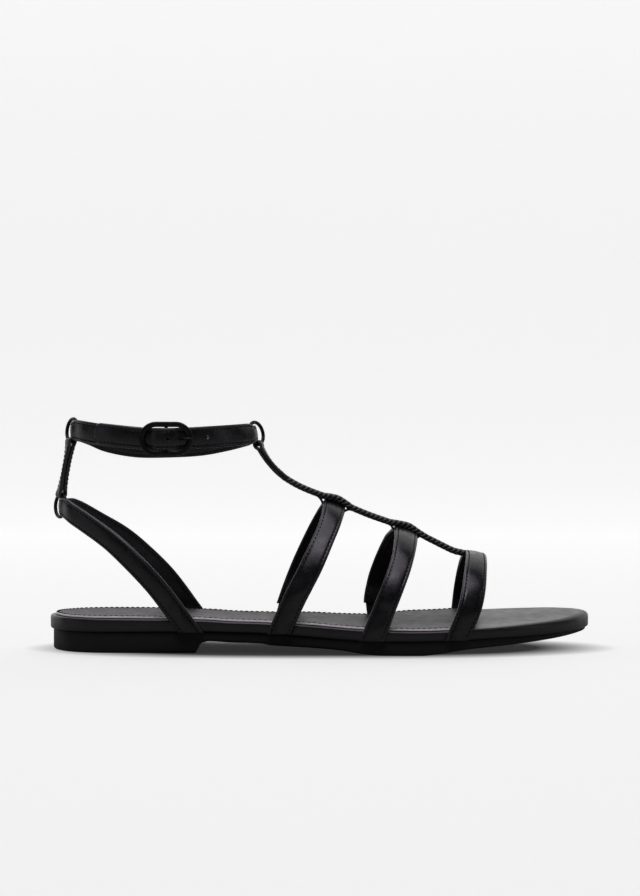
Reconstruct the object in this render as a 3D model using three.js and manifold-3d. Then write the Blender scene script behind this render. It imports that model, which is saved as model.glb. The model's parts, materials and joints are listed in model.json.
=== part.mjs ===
import * as THREE from 'three';
import { mergeVertices } from 'three/addons/utils/BufferGeometryUtils.js';
import Module from 'manifold-3d';

// Flat gladiator sandal for the right foot, in millimetres: +X to the toe, +Y to the medial side, +Z up.
// Stations along the foot are measured from the back of the footbed. The finished group is shifted so
// that its origin is the middle of the heel's flat bottom.

const HEEL_CENTRE = 33;
const CLEARANCE = 0.3;

// Footbed outline seen from above, from the back of the heel round the lateral side to the toe and back.
const OUTLINE = [
  { x: 0, y: 0 },
  { x: 2.2, y: -12 },
  { x: 9.5, y: -22.5 },
  { x: 21, y: -28 },
  { x: 40, y: -29.3 },
  { x: 72, y: -29 },
  { x: 100, y: -29.2 },
  { x: 130, y: -34.5 },
  { x: 152, y: -40.5 },
  { x: 172, y: -41.5 },
  { x: 190, y: -39.5 },
  { x: 207, y: -34 },
  { x: 222, y: -26 },
  { x: 236, y: -15 },
  { x: 246.5, y: -3 },
  { x: 251.4, y: 8 },
  { x: 248.5, y: 19 },
  { x: 239, y: 29 },
  { x: 224, y: 36.5 },
  { x: 205, y: 40.5 },
  { x: 183, y: 41.5 },
  { x: 160, y: 38.5 },
  { x: 130, y: 30.5 },
  { x: 100, y: 26.5 },
  { x: 72, y: 27.5 },
  { x: 40, y: 29.3 },
  { x: 21, y: 28 },
  { x: 9.5, y: 22.5 },
  { x: 2.2, y: 12 },
];

// Heights along the foot: underside of the outsole, seam between outsole and band, rim of the footbed.
const SIDE = [
  { x: 0, under: 5.4, seam: 9.5, rim: 15.8 },
  { x: 40, under: 5.4, seam: 9.5, rim: 15.6 },
  { x: 72.5, under: 5.4, seam: 9.5, rim: 15.0 },
  { x: 85, under: 4.7, seam: 9.1, rim: 14.2 },
  { x: 99, under: 4.2, seam: 8.7, rim: 13.8 },
  { x: 103, under: 3.5, seam: 8.5, rim: 13.6 },
  { x: 121, under: 2.7, seam: 7.5, rim: 12.9 },
  { x: 134, under: 1.9, seam: 6.7, rim: 12.0 },
  { x: 150, under: 0, seam: 6.3, rim: 11.3 },
  { x: 172, under: 0, seam: 6.5, rim: 11.0 },
  { x: 180, under: 1.5, seam: 6.7, rim: 11.2 },
  { x: 192, under: 2.8, seam: 7.0, rim: 11.9 },
  { x: 206, under: 3.7, seam: 7.4, rim: 12.7 },
  { x: 220, under: 4.8, seam: 8.0, rim: 13.5 },
  { x: 235, under: 6.3, seam: 8.8, rim: 14.3 },
  { x: 246, under: 7.7, seam: 9.5, rim: 14.9 },
  { x: 252, under: 8.4, seam: 9.9, rim: 15.2 },
];

const OUTLINE_STEPS = 30;
const CAP_COLUMNS = 4;
const WRAP_OVERHANG = 1.4;
const SOLE_ROUND = 0.9;
const CUP_DEPTH = 1.1;
const HEEL_BREAST = [
  { x: -5, z: -1 },
  { x: 68.6, z: -1 },
  { x: 69.2, z: 2.4 },
  { x: 70.2, z: 4.1 },
  { x: 71.4, z: 5.0 },
  { x: 73.5, z: 5.6 },
  { x: 73.5, z: 8 },
  { x: -5, z: 8 },
];

const SOCK_INSET = 2.4;
const SOCK_THICKNESS = 1.2;
const SOCK_FRONT = 197;

// Half-widths of the last at its widest height, to the outer face of the straps.
const LAST = [
  { x: 95, lateral: 31.5, medial: 29.5, wide: 27 },
  { x: 112, lateral: 33, medial: 31, wide: 26 },
  { x: 132, lateral: 37, medial: 35, wide: 25 },
  { x: 150, lateral: 41.5, medial: 39, wide: 24 },
  { x: 170, lateral: 43.5, medial: 42.5, wide: 20 },
  { x: 190, lateral: 42.3, medial: 44, wide: 17 },
  { x: 206, lateral: 38, medial: 43.5, wide: 16 },
];

// Each foot strap: side-view stations of its rear and front edges by height, on the lateral side, and of
// its rear edge on the medial side. The crest row is last.
const REAR_STRAP = {
  roundness: 1.75,
  rows: [
    { z: 8.4, rear: 101.4, front: 111.0, medialRear: 101.8 },
    { z: 20, rear: 106.1, front: 116.7, medialRear: 105.0 },
    { z: 29, rear: 110.0, front: 121.1, medialRear: 108.2 },
    { z: 38, rear: 115.7, front: 125.6, medialRear: 111.7 },
    { z: 50, rear: 121.6, front: 130.9, medialRear: 117.1 },
    { z: 58, rear: 125.1, front: 134.6, medialRear: 121.6 },
    { z: 64, rear: 127.2, front: 137.0, medialRear: 125.4 },
  ],
  crest: { rear: 128.7, rearZ: 68.4, front: 137.4, frontZ: 65.2 },
};
const MIDDLE_STRAP = {
  roundness: 1.85,
  rows: [
    { z: 6.3, rear: 142.4, front: 153.3, medialRear: 147.3 },
    { z: 17, rear: 146.7, front: 157.0, medialRear: 146.5 },
    { z: 29, rear: 151.7, front: 161.6, medialRear: 148.3 },
    { z: 38, rear: 155.5, front: 165.3, medialRear: 151.1 },
    { z: 46, rear: 158.2, front: 168.4, medialRear: 154.1 },
    { z: 52, rear: 159.9, front: 170.5, medialRear: 157.5 },
  ],
  crest: { rear: 161.1, rearZ: 56.2, front: 170.9, frontZ: 52.9 },
};
const TOE_STRAP = {
  roundness: 2.1,
  rows: [
    { z: 6.8, rear: 180.7, front: 190.9, medialRear: 188.5 },
    { z: 15, rear: 184.2, front: 194.6, medialRear: 189.9 },
    { z: 22, rear: 187.0, front: 196.9, medialRear: 190.6 },
    { z: 30, rear: 189.0, front: 198.7, medialRear: 191.5 },
    { z: 37, rear: 190.5, front: 199.9, medialRear: 192.3 },
    { z: 42, rear: 192.0, front: 201.4, medialRear: 192.9 },
  ],
  crest: { rear: 193.2, rearZ: 44.6, front: 202.6, frontZ: 42.9 },
};
const STRAP_THICKNESS = 2.2;
const STRAP_CROWN = 0.5;
const GORE_TOP = { rear: 17.6, middle: 17.2 };
const GORE_WIDTH = 8;
const GORE_THICKNESS = 1.5;

// Centre line of the plaited spine, from the front ring to the toe strap; it rides over the two straps
// that are threaded through it.
const SPINE = [
  { x: 100.9, z: 86.8, thickness: 2.6, width: 5.2 },
  { x: 105.1, z: 82.0, thickness: 2.7, width: 5.8 },
  { x: 109.3, z: 78.4, thickness: 2.9, width: 6.8 },
  { x: 114.9, z: 75.1, thickness: 3.2, width: 8 },
  { x: 120.5, z: 72.6, thickness: 3.2, width: 8 },
  { x: 126.5, z: 70.3, thickness: 3.4, width: 8 },
  { x: 129.0, z: 69.3, thickness: 4.6, width: 8 },
  { x: 133.0, z: 67.6, thickness: 6.2, width: 8 },
  { x: 137.3, z: 65.8, thickness: 4.6, width: 8 },
  { x: 140.1, z: 64.6, thickness: 3.4, width: 8 },
  { x: 148.5, z: 61.2, thickness: 3.2, width: 8 },
  { x: 156.9, z: 58.2, thickness: 3.4, width: 8 },
  { x: 161.5, z: 56.4, thickness: 4.6, width: 8 },
  { x: 166.0, z: 54.8, thickness: 5.8, width: 8 },
  { x: 170.9, z: 52.6, thickness: 4.4, width: 8 },
  { x: 176.5, z: 50.0, thickness: 3.2, width: 8 },
  { x: 182.1, z: 47.2, thickness: 3.2, width: 8 },
  { x: 187.7, z: 44.6, thickness: 3.0, width: 8 },
  { x: 193.5, z: 43.2, thickness: 2.2, width: 8 },
];
const SPINE_END_WIDTH = 4.8;
const SPINE_END_THICKNESS = 2.4;

// Wire rings that the ankle and heel straps are threaded through. Each is turned about the vertical by yaw
// and tipped along the foot by lean: a is its in-plane direction towards the lateral side, b upwards.
const WIRE_RADIUS = 0.7;
const RING_RADIUS = 5.3;
const RING_HEEL = ringFrame({ x: 4.2, z: 65.8, yaw: 34, lean: 5 });
const RING_ANKLE_BACK = ringFrame({ x: 9.6, z: 100.9, yaw: 34, lean: 8 });
const RING_ANKLE_FRONT = ringFrame({ x: 95.5, z: 99.4, yaw: -34, lean: -14 });
const TOP = 90;
const BOTTOM = 270;
const FOLD_THICKNESS = 0.85;

const TAB_WIDTH = 5;
const TAB_THICKNESS = 3.0;

const HEEL_STRAP_WIDTH = 9.4;
const ANKLE_STRAP_WIDTH = 10;
const THREADED_WIDTH = 7.7;
const ANKLE_THICKNESS = 1.7;

// Heel strap: lateral side of the sole, up and through the heel ring, then the medial side.
const HEEL_LEG = [
  { x: 66.8, y: 30.5, z: 9.9 },
  { x: 62.8, y: 30.7, z: 15.4 },
  { x: 58.6, y: 31.3, z: 21.1 },
  { x: 50.9, y: 31.2, z: 30.9 },
  { x: 41.7, y: 29.6, z: 40.7 },
  { x: 31.2, y: 26.0, z: 50.4 },
  { x: 19.7, y: 19.0, z: 58.4 },
];
const HEEL_BEND = [
  { x: 11.0, y: -12.6, z: 63.0 },
  { x: 7.2, y: -7.7, z: 64.8 },
  { x: 5.2, y: -4.9, z: 65.5 },
  { x: 4.8, y: -2.0, z: 65.8 },
  { x: 5.2, y: 1.0, z: 65.7 },
  { x: 7.2, y: 5.2, z: 65.0 },
  { x: 11.0, y: 10.8, z: 63.2 },
];

// Ankle strap in one length: from the buckle's bar back through the rear ring, round the medial side,
// through the front ring and forward again through the buckle to its tip.
const ANKLE_STRAP = [
  { x: 55.2, y: -29.5, z: 96.7 },
  { x: 50.5, y: -28.4, z: 96.7 },
  { x: 45.1, y: -28.0, z: 96.9 },
  { x: 36, y: -26.0, z: 97.5 },
  { x: 26, y: -21.0, z: 98.6 },
  { x: 17.0, y: -13.2, z: 100.0 },
  { x: 12.6, y: -7.7, z: 100.7 },
  { x: 10.6, y: -4.9, z: 100.9 },
  { x: 10.2, y: -2.0, z: 100.9 },
  { x: 10.6, y: 1.0, z: 100.8 },
  { x: 12.6, y: 5.2, z: 100.4 },
  { x: 16.5, y: 11.0, z: 98.9 },
  { x: 24, y: 19.0, z: 96.4 },
  { x: 37, y: 26.5, z: 94.2 },
  { x: 52, y: 29.0, z: 93.4 },
  { x: 68, y: 26.6, z: 94.2 },
  { x: 81, y: 18.6, z: 96.7 },
  { x: 88.8, y: 10.6, z: 98.4 },
  { x: 92.9, y: 5.2, z: 99.1 },
  { x: 95.0, y: 1.0, z: 99.4 },
  { x: 95.3, y: -2.0, z: 99.4 },
  { x: 94.7, y: -4.9, z: 99.3 },
  { x: 92.4, y: -8.4, z: 99.1 },
  { x: 87.5, y: -14.6, z: 98.6 },
  { x: 81.0, y: -21.2, z: 98.0 },
  { x: 73.0, y: -26.8, z: 97.4 },
  { x: 66.4, y: -29.8, z: 97.0 },
  { x: 62.5, y: -30.8, z: 96.8 },
  { x: 59.0, y: -32.9, z: 96.7 },
  { x: 55.7, y: -33.7, z: 96.7 },
  { x: 52.4, y: -32.9, z: 96.7 },
  { x: 48.9, y: -31.0, z: 96.7 },
  { x: 45.0, y: -30.2, z: 97.0 },
  { x: 38.5, y: -28.9, z: 97.6 },
  { x: 31.0, y: -26.1, z: 98.4 },
  { x: 23.0, y: -21.3, z: 99.3 },
];

const BUCKLE = { x: 55.7, y: -32.3, z: 96.8, length: 23.8, height: 15.3, rail: 2.3, depth: 1.8 };
const BAR = { y: -30.6, radius: 0.8 };
const BAR_LUG = { width: 2.4, height: 1.5 };
const BAR_FOLD_THICKNESS = 0.8;
const PIN_RADIUS = 0.7;
const PIN = [
  { x: 57.3, y: -30.7 },
  { x: 60.0, y: -31.0 },
  { x: 62.4, y: -32.0 },
  { x: 65.0, y: -34.2 },
  { x: 68.0, y: -34.3 },
];
const PUNCH = { radius: 0.8, stations: [73.8, 82.2] };

const wasm = await Module();
wasm.setup();

// ---------------------------------------------------------------------------------------- general tools

function ringFrame({ x, z, yaw, lean }) {
  const turn = THREE.MathUtils.degToRad(yaw);
  const tip = THREE.MathUtils.degToRad(lean);
  const a = new THREE.Vector3(Math.sin(turn), -Math.cos(turn), 0);
  const up = new THREE.Vector3(Math.sin(tip), 0, Math.cos(tip));
  const n = new THREE.Vector3().crossVectors(a, up).normalize();
  const b = new THREE.Vector3().crossVectors(n, a);
  return { centre: new THREE.Vector3(x, 0, z), a, b, n };
}

function onRing(frame, degrees, radius = RING_RADIUS) {
  const angle = THREE.MathUtils.degToRad(degrees);
  return frame.centre
    .clone()
    .addScaledVector(frame.a, radius * Math.cos(angle))
    .addScaledVector(frame.b, radius * Math.sin(angle));
}

// Smooth curve through [x, y] pairs that never overshoots them, so that equal heights give a flat.
function monotone(pairs) {
  const last = pairs.length - 1;
  const chord = [];
  for (let i = 0; i < last; i += 1) {
    chord.push((pairs[i + 1][1] - pairs[i][1]) / (pairs[i + 1][0] - pairs[i][0]));
  }
  const slope = [chord[0]];
  for (let i = 1; i < last; i += 1) {
    const product = chord[i - 1] * chord[i];
    slope.push(product <= 0 ? 0 : (2 * product) / (chord[i - 1] + chord[i]));
  }
  slope.push(chord[last - 1]);
  return (x) => {
    const at = Math.min(Math.max(x, pairs[0][0]), pairs[last][0]);
    let i = 0;
    while (i < last - 1 && at > pairs[i + 1][0]) i += 1;
    const span = pairs[i + 1][0] - pairs[i][0];
    const t = (at - pairs[i][0]) / span;
    const s = 1 - t;
    const start = (1 + 2 * t) * s * s * pairs[i][1] + t * s * s * span * slope[i];
    const end = t * t * (1 + 2 * s) * pairs[i + 1][1] - t * t * s * span * slope[i + 1];
    return start + end;
  };
}

function column(rows, key, by = 'x') {
  return monotone(rows.map((row) => [row[by], row[key]]));
}

// A closed body from points and triangles, with repeated points joined and its faces turned outwards.
function body(points, faces) {
  let volume = 0;
  const cross = new THREE.Vector3();
  for (const [i, j, k] of faces) {
    volume += points[i].dot(cross.crossVectors(points[j], points[k]));
  }
  const geometry = new THREE.BufferGeometry();
  geometry.setFromPoints(points);
  const order = volume < 0 ? faces.map(([i, j, k]) => [i, k, j]) : faces;
  geometry.setIndex(order.flat());
  const merged = mergeVertices(geometry, 1e-4);
  const index = [];
  for (let t = 0; t < merged.index.count; t += 3) {
    const [i, j, k] = [0, 1, 2].map((corner) => merged.index.getX(t + corner));
    if (i !== j && j !== k && k !== i) index.push(i, j, k);
  }
  merged.setIndex(index);
  merged.computeVertexNormals();
  return merged;
}

// Skin through rings of points, closed at both ends.
function loft(rings) {
  const count = rings[0].length;
  const points = rings.flat();
  const faces = [];
  for (let r = 0; r + 1 < rings.length; r += 1) {
    for (let i = 0; i < count; i += 1) {
      const j = (i + 1) % count;
      const low = r * count;
      const high = low + count;
      faces.push([low + i, low + j, high + j], [low + i, high + j, high + i]);
    }
  }
  const lastRing = (rings.length - 1) * count;
  for (let i = 1; i + 1 < count; i += 1) {
    faces.push([0, i + 1, i], [lastRing, lastRing + i, lastRing + i + 1]);
  }
  return body(points, faces);
}

function solid(geometry) {
  const bare = geometry.clone();
  bare.deleteAttribute('normal');
  bare.deleteAttribute('uv');
  const merged = mergeVertices(bare, 1e-4);
  const mesh = new wasm.Mesh({
    numProp: 3,
    vertProperties: new Float32Array(merged.attributes.position.array),
    triVerts: new Uint32Array(merged.index.array),
  });
  return new wasm.Manifold(mesh);
}

function geometryOf(manifold) {
  const mesh = manifold.getMesh();
  const geometry = new THREE.BufferGeometry();
  geometry.setAttribute('position', new THREE.BufferAttribute(new Float32Array(mesh.vertProperties), 3));
  geometry.setIndex(new THREE.BufferAttribute(new Uint32Array(mesh.triVerts), 1));
  geometry.computeVertexNormals();
  return geometry;
}

// ------------------------------------------------------------------------------------------------- sole

const under = column(SIDE, 'under');
const seam = column(SIDE, 'seam');
const rim = column(SIDE, 'rim');

const outlineCurve = new THREE.CatmullRomCurve3(
  OUTLINE.map((row) => new THREE.Vector3(row.x, row.y, 0)),
  true,
  'centripetal',
);
outlineCurve.arcLengthDivisions = 1200;
const outlineSamples = outlineCurve.getSpacedPoints(1200);

function bandY(x, side) {
  let found = 0;
  for (let i = 0; i + 1 < outlineSamples.length; i += 1) {
    const p = outlineSamples[i];
    const q = outlineSamples[i + 1];
    if ((p.x - x) * (q.x - x) <= 0 && p.x !== q.x) {
      const y = p.y + ((x - p.x) / (q.x - p.x)) * (q.y - p.y);
      if (y * side > found * side) found = y;
    }
  }
  return found;
}

function toeFraction() {
  let best = 0;
  outlineSamples.forEach((point, i) => {
    if (point.x > outlineSamples[best].x) best = i;
  });
  return best / (outlineSamples.length - 1);
}

// Points of the outline with their inward normals, the same number along each side of the foot.
function outlineStations() {
  const toe = toeFraction();
  const stations = [];
  for (let i = 0; i < 2 * OUTLINE_STEPS; i += 1) {
    const t = i / OUTLINE_STEPS;
    const fraction = t <= 1 ? toe * t : toe + (1 - toe) * (t - 1);
    const point = outlineCurve.getPointAt(fraction);
    const tangent = outlineCurve.getTangentAt(fraction);
    stations.push({ point, inward: new THREE.Vector3(-tangent.y, tangent.x, 0) });
  }
  return stations;
}
const stations = outlineStations();

function insetRing(inset, height) {
  return stations.map(({ point, inward }) => {
    const moved = point.clone().addScaledVector(inward, inset);
    moved.z = height(moved.x, moved.y);
    return moved;
  });
}

// Slight dish of the foot's bed between its rims.
function cup(x, y) {
  const lateral = bandY(x, -1);
  const medial = bandY(x, 1);
  const half = Math.max((medial - lateral) / 2, 1);
  const across = (y - (medial + lateral) / 2) / half;
  const ends = THREE.MathUtils.smoothstep(x, 2, 24) * (1 - THREE.MathUtils.smoothstep(x, 225, 248));
  return CUP_DEPTH * Math.max(0, 1 - across * across) * ends;
}

// A plate with the sole's outline: walls through the given levels, caps that follow the last level's height.
function plate(levels, columns) {
  const rings = levels.map(({ inset, height }) => insetRing(inset, height));
  const count = rings[0].length;
  const half = OUTLINE_STEPS;
  const points = rings.flat();
  const faces = [];
  for (let r = 0; r + 1 < rings.length; r += 1) {
    for (let i = 0; i < count; i += 1) {
      const j = (i + 1) % count;
      const low = r * count;
      const high = low + count;
      faces.push([low + i, low + j, high + j], [low + i, high + j, high + i]);
    }
  }
  const cap = (ring, first, height, flip) => {
    const rows = [];
    for (let i = 0; i <= half; i += 1) {
      const left = first + i;
      const right = first + ((count - i) % count);
      const row = [left];
      for (let c = 1; c < columns; c += 1) {
        if (left === right) {
          row.push(left);
        } else {
          const point = ring[i].clone().lerp(ring[(count - i) % count], c / columns);
          point.z = height(point.x, point.y);
          row.push(points.length);
          points.push(point);
        }
      }
      row.push(right);
      rows.push(row);
    }
    for (let i = 0; i < half; i += 1) {
      for (let c = 0; c < columns; c += 1) {
        const [p, q, r, s] = [rows[i][c], rows[i][c + 1], rows[i + 1][c + 1], rows[i + 1][c]];
        faces.push(flip ? [p, r, q] : [p, q, r], flip ? [p, s, r] : [p, r, s]);
      }
    }
  };
  cap(rings[0], 0, levels[0].height, false);
  const lastLevel = levels.length - 1;
  cap(rings[lastLevel], lastLevel * count, levels[lastLevel].height, true);
  return body(points, faces);
}

function makeOutsole() {
  const sole = plate([
    { inset: WRAP_OVERHANG + SOLE_ROUND, height: (x) => under(x) },
    { inset: WRAP_OVERHANG, height: (x) => under(x) + SOLE_ROUND },
    { inset: WRAP_OVERHANG, height: (x) => seam(x) },
  ], 2);
  const block = plate([
    { inset: WRAP_OVERHANG + 0.5, height: () => 0 },
    { inset: WRAP_OVERHANG, height: () => 0.5 },
    { inset: WRAP_OVERHANG, height: () => 7.5 },
  ], 2);
  const breast = new THREE.Shape(HEEL_BREAST.map((row) => new THREE.Vector2(row.x, row.z)));
  const cutter = new THREE.ExtrudeGeometry(breast, { depth: 100, bevelEnabled: false });
  cutter.rotateX(Math.PI / 2);
  cutter.translate(0, 50, 0);
  return geometryOf(solid(sole).add(solid(block).intersect(solid(cutter))));
}

function makeFootbed() {
  const bed = (x, y) => rim(x) - cup(x, y);
  return plate([
    { inset: 1.0, height: (x) => seam(x) + CLEARANCE },
    { inset: 0, height: (x) => seam(x) + CLEARANCE + 0.9 },
    { inset: 0, height: (x) => rim(x) - 1.7 },
    { inset: 0.5, height: (x) => rim(x) - 0.5 },
    { inset: 1.6, height: bed },
  ], CAP_COLUMNS);
}

function makeInsole() {
  const bed = (x, y) => rim(x) - cup(x, y) + CLEARANCE;
  const sock = plate([
    { inset: SOCK_INSET, height: bed },
    { inset: SOCK_INSET, height: (x, y) => bed(x, y) + SOCK_THICKNESS - 0.4 },
    { inset: SOCK_INSET + 0.4, height: (x, y) => bed(x, y) + SOCK_THICKNESS },
  ], CAP_COLUMNS);
  const keep = new THREE.BoxGeometry(SOCK_FRONT + 10, 120, 60);
  keep.translate((SOCK_FRONT - 10) / 2, 0, 10);
  return geometryOf(solid(sock).intersect(solid(keep)));
}

// ----------------------------------------------------------------------------------------------- straps

// A strap with rounded edges and a crowned outer face through frames of centre, width direction w and
// outward normal n.
function strip(frames, crown = STRAP_CROWN) {
  const rings = frames.map(({ centre, w, n, width, thickness }) => {
    const A = width / 2;
    const h = thickness / 2;
    const edge = Math.min(0.6, h * 0.6);
    const section = [
      [-A + edge, -h],
      [A - edge, -h],
      [A, -h + edge],
      [A, h - edge - crown * 0.6],
      [A - 1.4 * edge, h - crown * 0.5],
      [0, h],
      [-A + 1.4 * edge, h - crown * 0.5],
      [-A, h - edge - crown * 0.6],
      [-A, -h + edge],
    ];
    return section.map(([u, v]) => centre.clone().addScaledVector(w, u).addScaledVector(n, v));
  });
  return loft(rings);
}

// Frames along a path. The width direction is taken as near as possible to the one given at each point.
function framesAlong(points, widthDirections, outward, width, thickness) {
  return points.map((centre, i) => {
    const before = points[Math.max(i - 1, 0)];
    const after = points[Math.min(i + 1, points.length - 1)];
    const tangent = after.clone().sub(before).normalize();
    const wanted = widthDirections(i / (points.length - 1), centre);
    const w = wanted.clone().addScaledVector(tangent, -wanted.dot(tangent)).normalize();
    const n = new THREE.Vector3().crossVectors(tangent, w).normalize();
    if (n.dot(outward(centre)) < 0) n.negate();
    return { centre, w, n, width: width(centre), thickness: thickness(centre) };
  });
}

function pathPoints(controls, steps) {
  const curve = new THREE.CatmullRomCurve3(controls, false, 'centripetal');
  return curve.getSpacedPoints(steps);
}

function vectors(rows) {
  return rows.map((row) => new THREE.Vector3(row.x, row.y ?? 0, row.z));
}

const lastWide = column(LAST, 'wide');
const lastWidth = { '-1': column(LAST, 'lateral'), 1: column(LAST, 'medial') };

// Outer faces of a foot strap: a point on its rear or front edge, on one side of the last.
function footStrapEdges(strap, side) {
  const rearX = column(strap.rows, 'rear', 'z');
  const frontX = column(strap.rows, 'front', 'z');
  const medialX = column(strap.rows, 'medialRear', 'z');
  const top = strap.rows[strap.rows.length - 1].z;
  const atHeight = (z, edge, crestX, crestZ) => {
    const lateralX = edge === 'rear' ? rearX(z) : frontX(z);
    const x = side < 0 ? lateralX : medialX(z) + (lateralX - rearX(z));
    return z <= top ? x : THREE.MathUtils.lerp(x, crestX, (z - top) / (crestZ - top));
  };
  return atHeight;
}

function footStrapFrames(strap, side, legSteps, archSteps, baseZ) {
  const atHeight = footStrapEdges(strap, side);
  const point = (edge, crestX, crestZ, leg, angle) => {
    const middle = atHeight(24, edge, crestX, crestZ);
    const wide = lastWide(middle);
    if (leg < 1) {
      const z = THREE.MathUtils.lerp(baseZ, wide, leg);
      const x = atHeight(z, edge, crestX, crestZ);
      const base = bandY(x, side) + side * (CLEARANCE + STRAP_THICKNESS);
      const free = THREE.MathUtils.smoothstep(z, rim(x) - 1, wide);
      return new THREE.Vector3(x, THREE.MathUtils.lerp(base, side * lastWidth[side](x), free), z);
    }
    const power = 2 / strap.roundness;
    const z = wide + (crestZ - wide) * Math.sin(angle) ** power;
    const x = atHeight(z, edge, crestX, crestZ);
    return new THREE.Vector3(x, side * lastWidth[side](x) * Math.max(Math.cos(angle), 0) ** power, z);
  };
  const { crest } = strap;
  const edges = [];
  for (let i = 0; i < legSteps; i += 1) {
    edges.push([
      point('rear', crest.rear, crest.rearZ, i / legSteps, 0),
      point('front', crest.front, crest.frontZ, i / legSteps, 0),
    ]);
  }
  for (let i = 0; i <= archSteps; i += 1) {
    const angle = (Math.PI / 2) * (i / archSteps);
    edges.push([
      point('rear', crest.rear, crest.rearZ, 1, angle),
      point('front', crest.front, crest.frontZ, 1, angle),
    ]);
  }
  return edges;
}

// Turns pairs of outer edge points into frames whose outer face passes through both.
function framesFromEdges(edges, thickness, narrowed = 0) {
  const middles = edges.map(([rear, front]) => rear.clone().add(front).multiplyScalar(0.5));
  return edges.map(([rear, front], i) => {
    const before = middles[Math.max(i - 1, 0)];
    const after = middles[Math.min(i + 1, middles.length - 1)];
    const tangent = after.clone().sub(before).normalize();
    const across = front.clone().sub(rear);
    const w = across.clone().addScaledVector(tangent, -across.dot(tangent)).normalize();
    const n = new THREE.Vector3().crossVectors(tangent, w).normalize();
    const outward = new THREE.Vector3(0, middles[i].y, (middles[i].z - 20) * 0.6);
    if (n.dot(outward) < 0) n.negate();
    const centre = middles[i].clone().addScaledVector(n, -thickness / 2);
    return { centre, w, n, width: across.dot(w) - narrowed, thickness };
  });
}

const LEG_STEPS = 5;
const ARCH_STEPS = 9;

function makeFootStrap(strap, goreTop) {
  const base = strap.rows[0].z + CLEARANCE;
  const lateral = footStrapFrames(strap, -1, LEG_STEPS, ARCH_STEPS, base);
  const medial = footStrapFrames(strap, 1, LEG_STEPS, ARCH_STEPS, goreTop ?? base);
  medial.pop();
  return strip(framesFromEdges([...lateral, ...medial.reverse()], STRAP_THICKNESS));
}

function makeGore(strap, top) {
  const base = strap.rows[0].z + CLEARANCE;
  const full = footStrapFrames(strap, 1, 14, 2, base);
  const leg = full.slice(0, 14).filter(([rear]) => rear.z < top - CLEARANCE);
  const frames = framesFromEdges(leg, STRAP_THICKNESS);
  frames.forEach((frame) => {
    frame.width = GORE_WIDTH;
    frame.centre.addScaledVector(frame.n, (GORE_THICKNESS - STRAP_THICKNESS) / 2);
    frame.thickness = GORE_THICKNESS;
  });
  return strip(frames, 0.2);
}

// The sleeve of leather folded round a wire ring.
function foldSleeve(frame, degrees, halfArc) {
  const outer = WIRE_RADIUS + CLEARANCE + FOLD_THICKNESS;
  const rings = [];
  for (let i = 0; i <= 4; i += 1) {
    const at = degrees - halfArc + (halfArc * i) / 2;
    const centre = onRing(frame, at);
    const radial = centre.clone().sub(frame.centre).normalize();
    const ring = [];
    for (let k = 0; k < 10; k += 1) {
      const angle = (2 * Math.PI * k) / 10;
      const offset = radial.clone().multiplyScalar(Math.cos(angle)).addScaledVector(frame.n, Math.sin(angle));
      ring.push(centre.clone().addScaledVector(offset, outer));
    }
    rings.push(ring);
  }
  return loft(rings);
}

function torus(frame, radius, sides) {
  const geometry = new THREE.TorusGeometry(RING_RADIUS, radius, sides, 24);
  const matrix = new THREE.Matrix4().makeBasis(frame.a, frame.b, frame.n).setPosition(frame.centre);
  return geometry.applyMatrix4(matrix);
}

function wireRoom(frame) {
  return solid(torus(frame, WIRE_RADIUS + CLEARANCE, 7));
}

const up = new THREE.Vector3(0, 0, 1);
const always = (value) => () => value;

// Narrows a strap where it passes through a ring.
function threadedWidth(full, rings) {
  return (centre) => {
    const nearest = Math.min(...rings.map((ring) => centre.distanceTo(ring.centre)));
    return THREE.MathUtils.lerp(THREADED_WIDTH, full, THREE.MathUtils.smoothstep(nearest, 3.5, 8));
  };
}

function makeUpper() {
  const start = onRing(RING_ANKLE_FRONT, BOTTOM);
  const path = pathPoints([start, ...vectors(SPINE)], 44);
  const first = { x: start.x, thickness: SPINE_END_THICKNESS, width: SPINE_END_WIDTH };
  const thickness = column([first, ...SPINE], 'thickness');
  const width = column([first, ...SPINE], 'width');
  const acrossRing = RING_ANKLE_FRONT.a.clone().negate();
  const acrossFoot = new THREE.Vector3(0, 1, 0);
  const across = (t) => acrossRing.clone().lerp(acrossFoot, Math.min(t / 0.15, 1)).normalize();
  const outward = always(new THREE.Vector3(1, 0, 1));
  const frames = framesAlong(path, across, outward, (p) => width(p.x), (p) => thickness(p.x));
  const spine = solid(strip(frames, 0.7));
  const sleeve = solid(foldSleeve(RING_ANKLE_FRONT, BOTTOM, 24));
  const upper = spine
    .add(sleeve)
    .subtract(wireRoom(RING_ANKLE_FRONT))
    .subtract(strapRoom(ankleFrames))
    .add(solid(makeFootStrap(REAR_STRAP, GORE_TOP.rear)))
    .add(solid(makeFootStrap(MIDDLE_STRAP, GORE_TOP.middle)))
    .add(solid(makeFootStrap(TOE_STRAP)));
  return geometryOf(upper);
}

// Frames of the heel strap, or of the room that it needs when grown by a clearance.
function heelFrames(grow) {
  const leg = (side) => HEEL_LEG.map((row) => {
    const clear = Math.abs(bandY(row.x, side)) + CLEARANCE + STRAP_THICKNESS / 2;
    const y = row.z < rim(row.x) + 2 ? Math.max(row.y, clear) : row.y;
    return new THREE.Vector3(row.x, side * y, row.z);
  });
  const path = pathPoints([...leg(-1), ...vectors(HEEL_BEND), ...leg(1).reverse()], 56);
  const outward = (centre) => new THREE.Vector3(centre.x - 60, centre.y, 0);
  const width = threadedWidth(HEEL_STRAP_WIDTH, [RING_HEEL]);
  const nearest = (centre) => centre.distanceTo(RING_HEEL.centre);
  const thickness = (centre) => THREE.MathUtils.lerp(
    ANKLE_THICKNESS,
    STRAP_THICKNESS,
    THREE.MathUtils.smoothstep(nearest(centre), 6, 20),
  );
  return framesAlong(path, always(up), outward, (p) => width(p) + 2 * grow, (p) => thickness(p) + 2 * grow);
}

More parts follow.
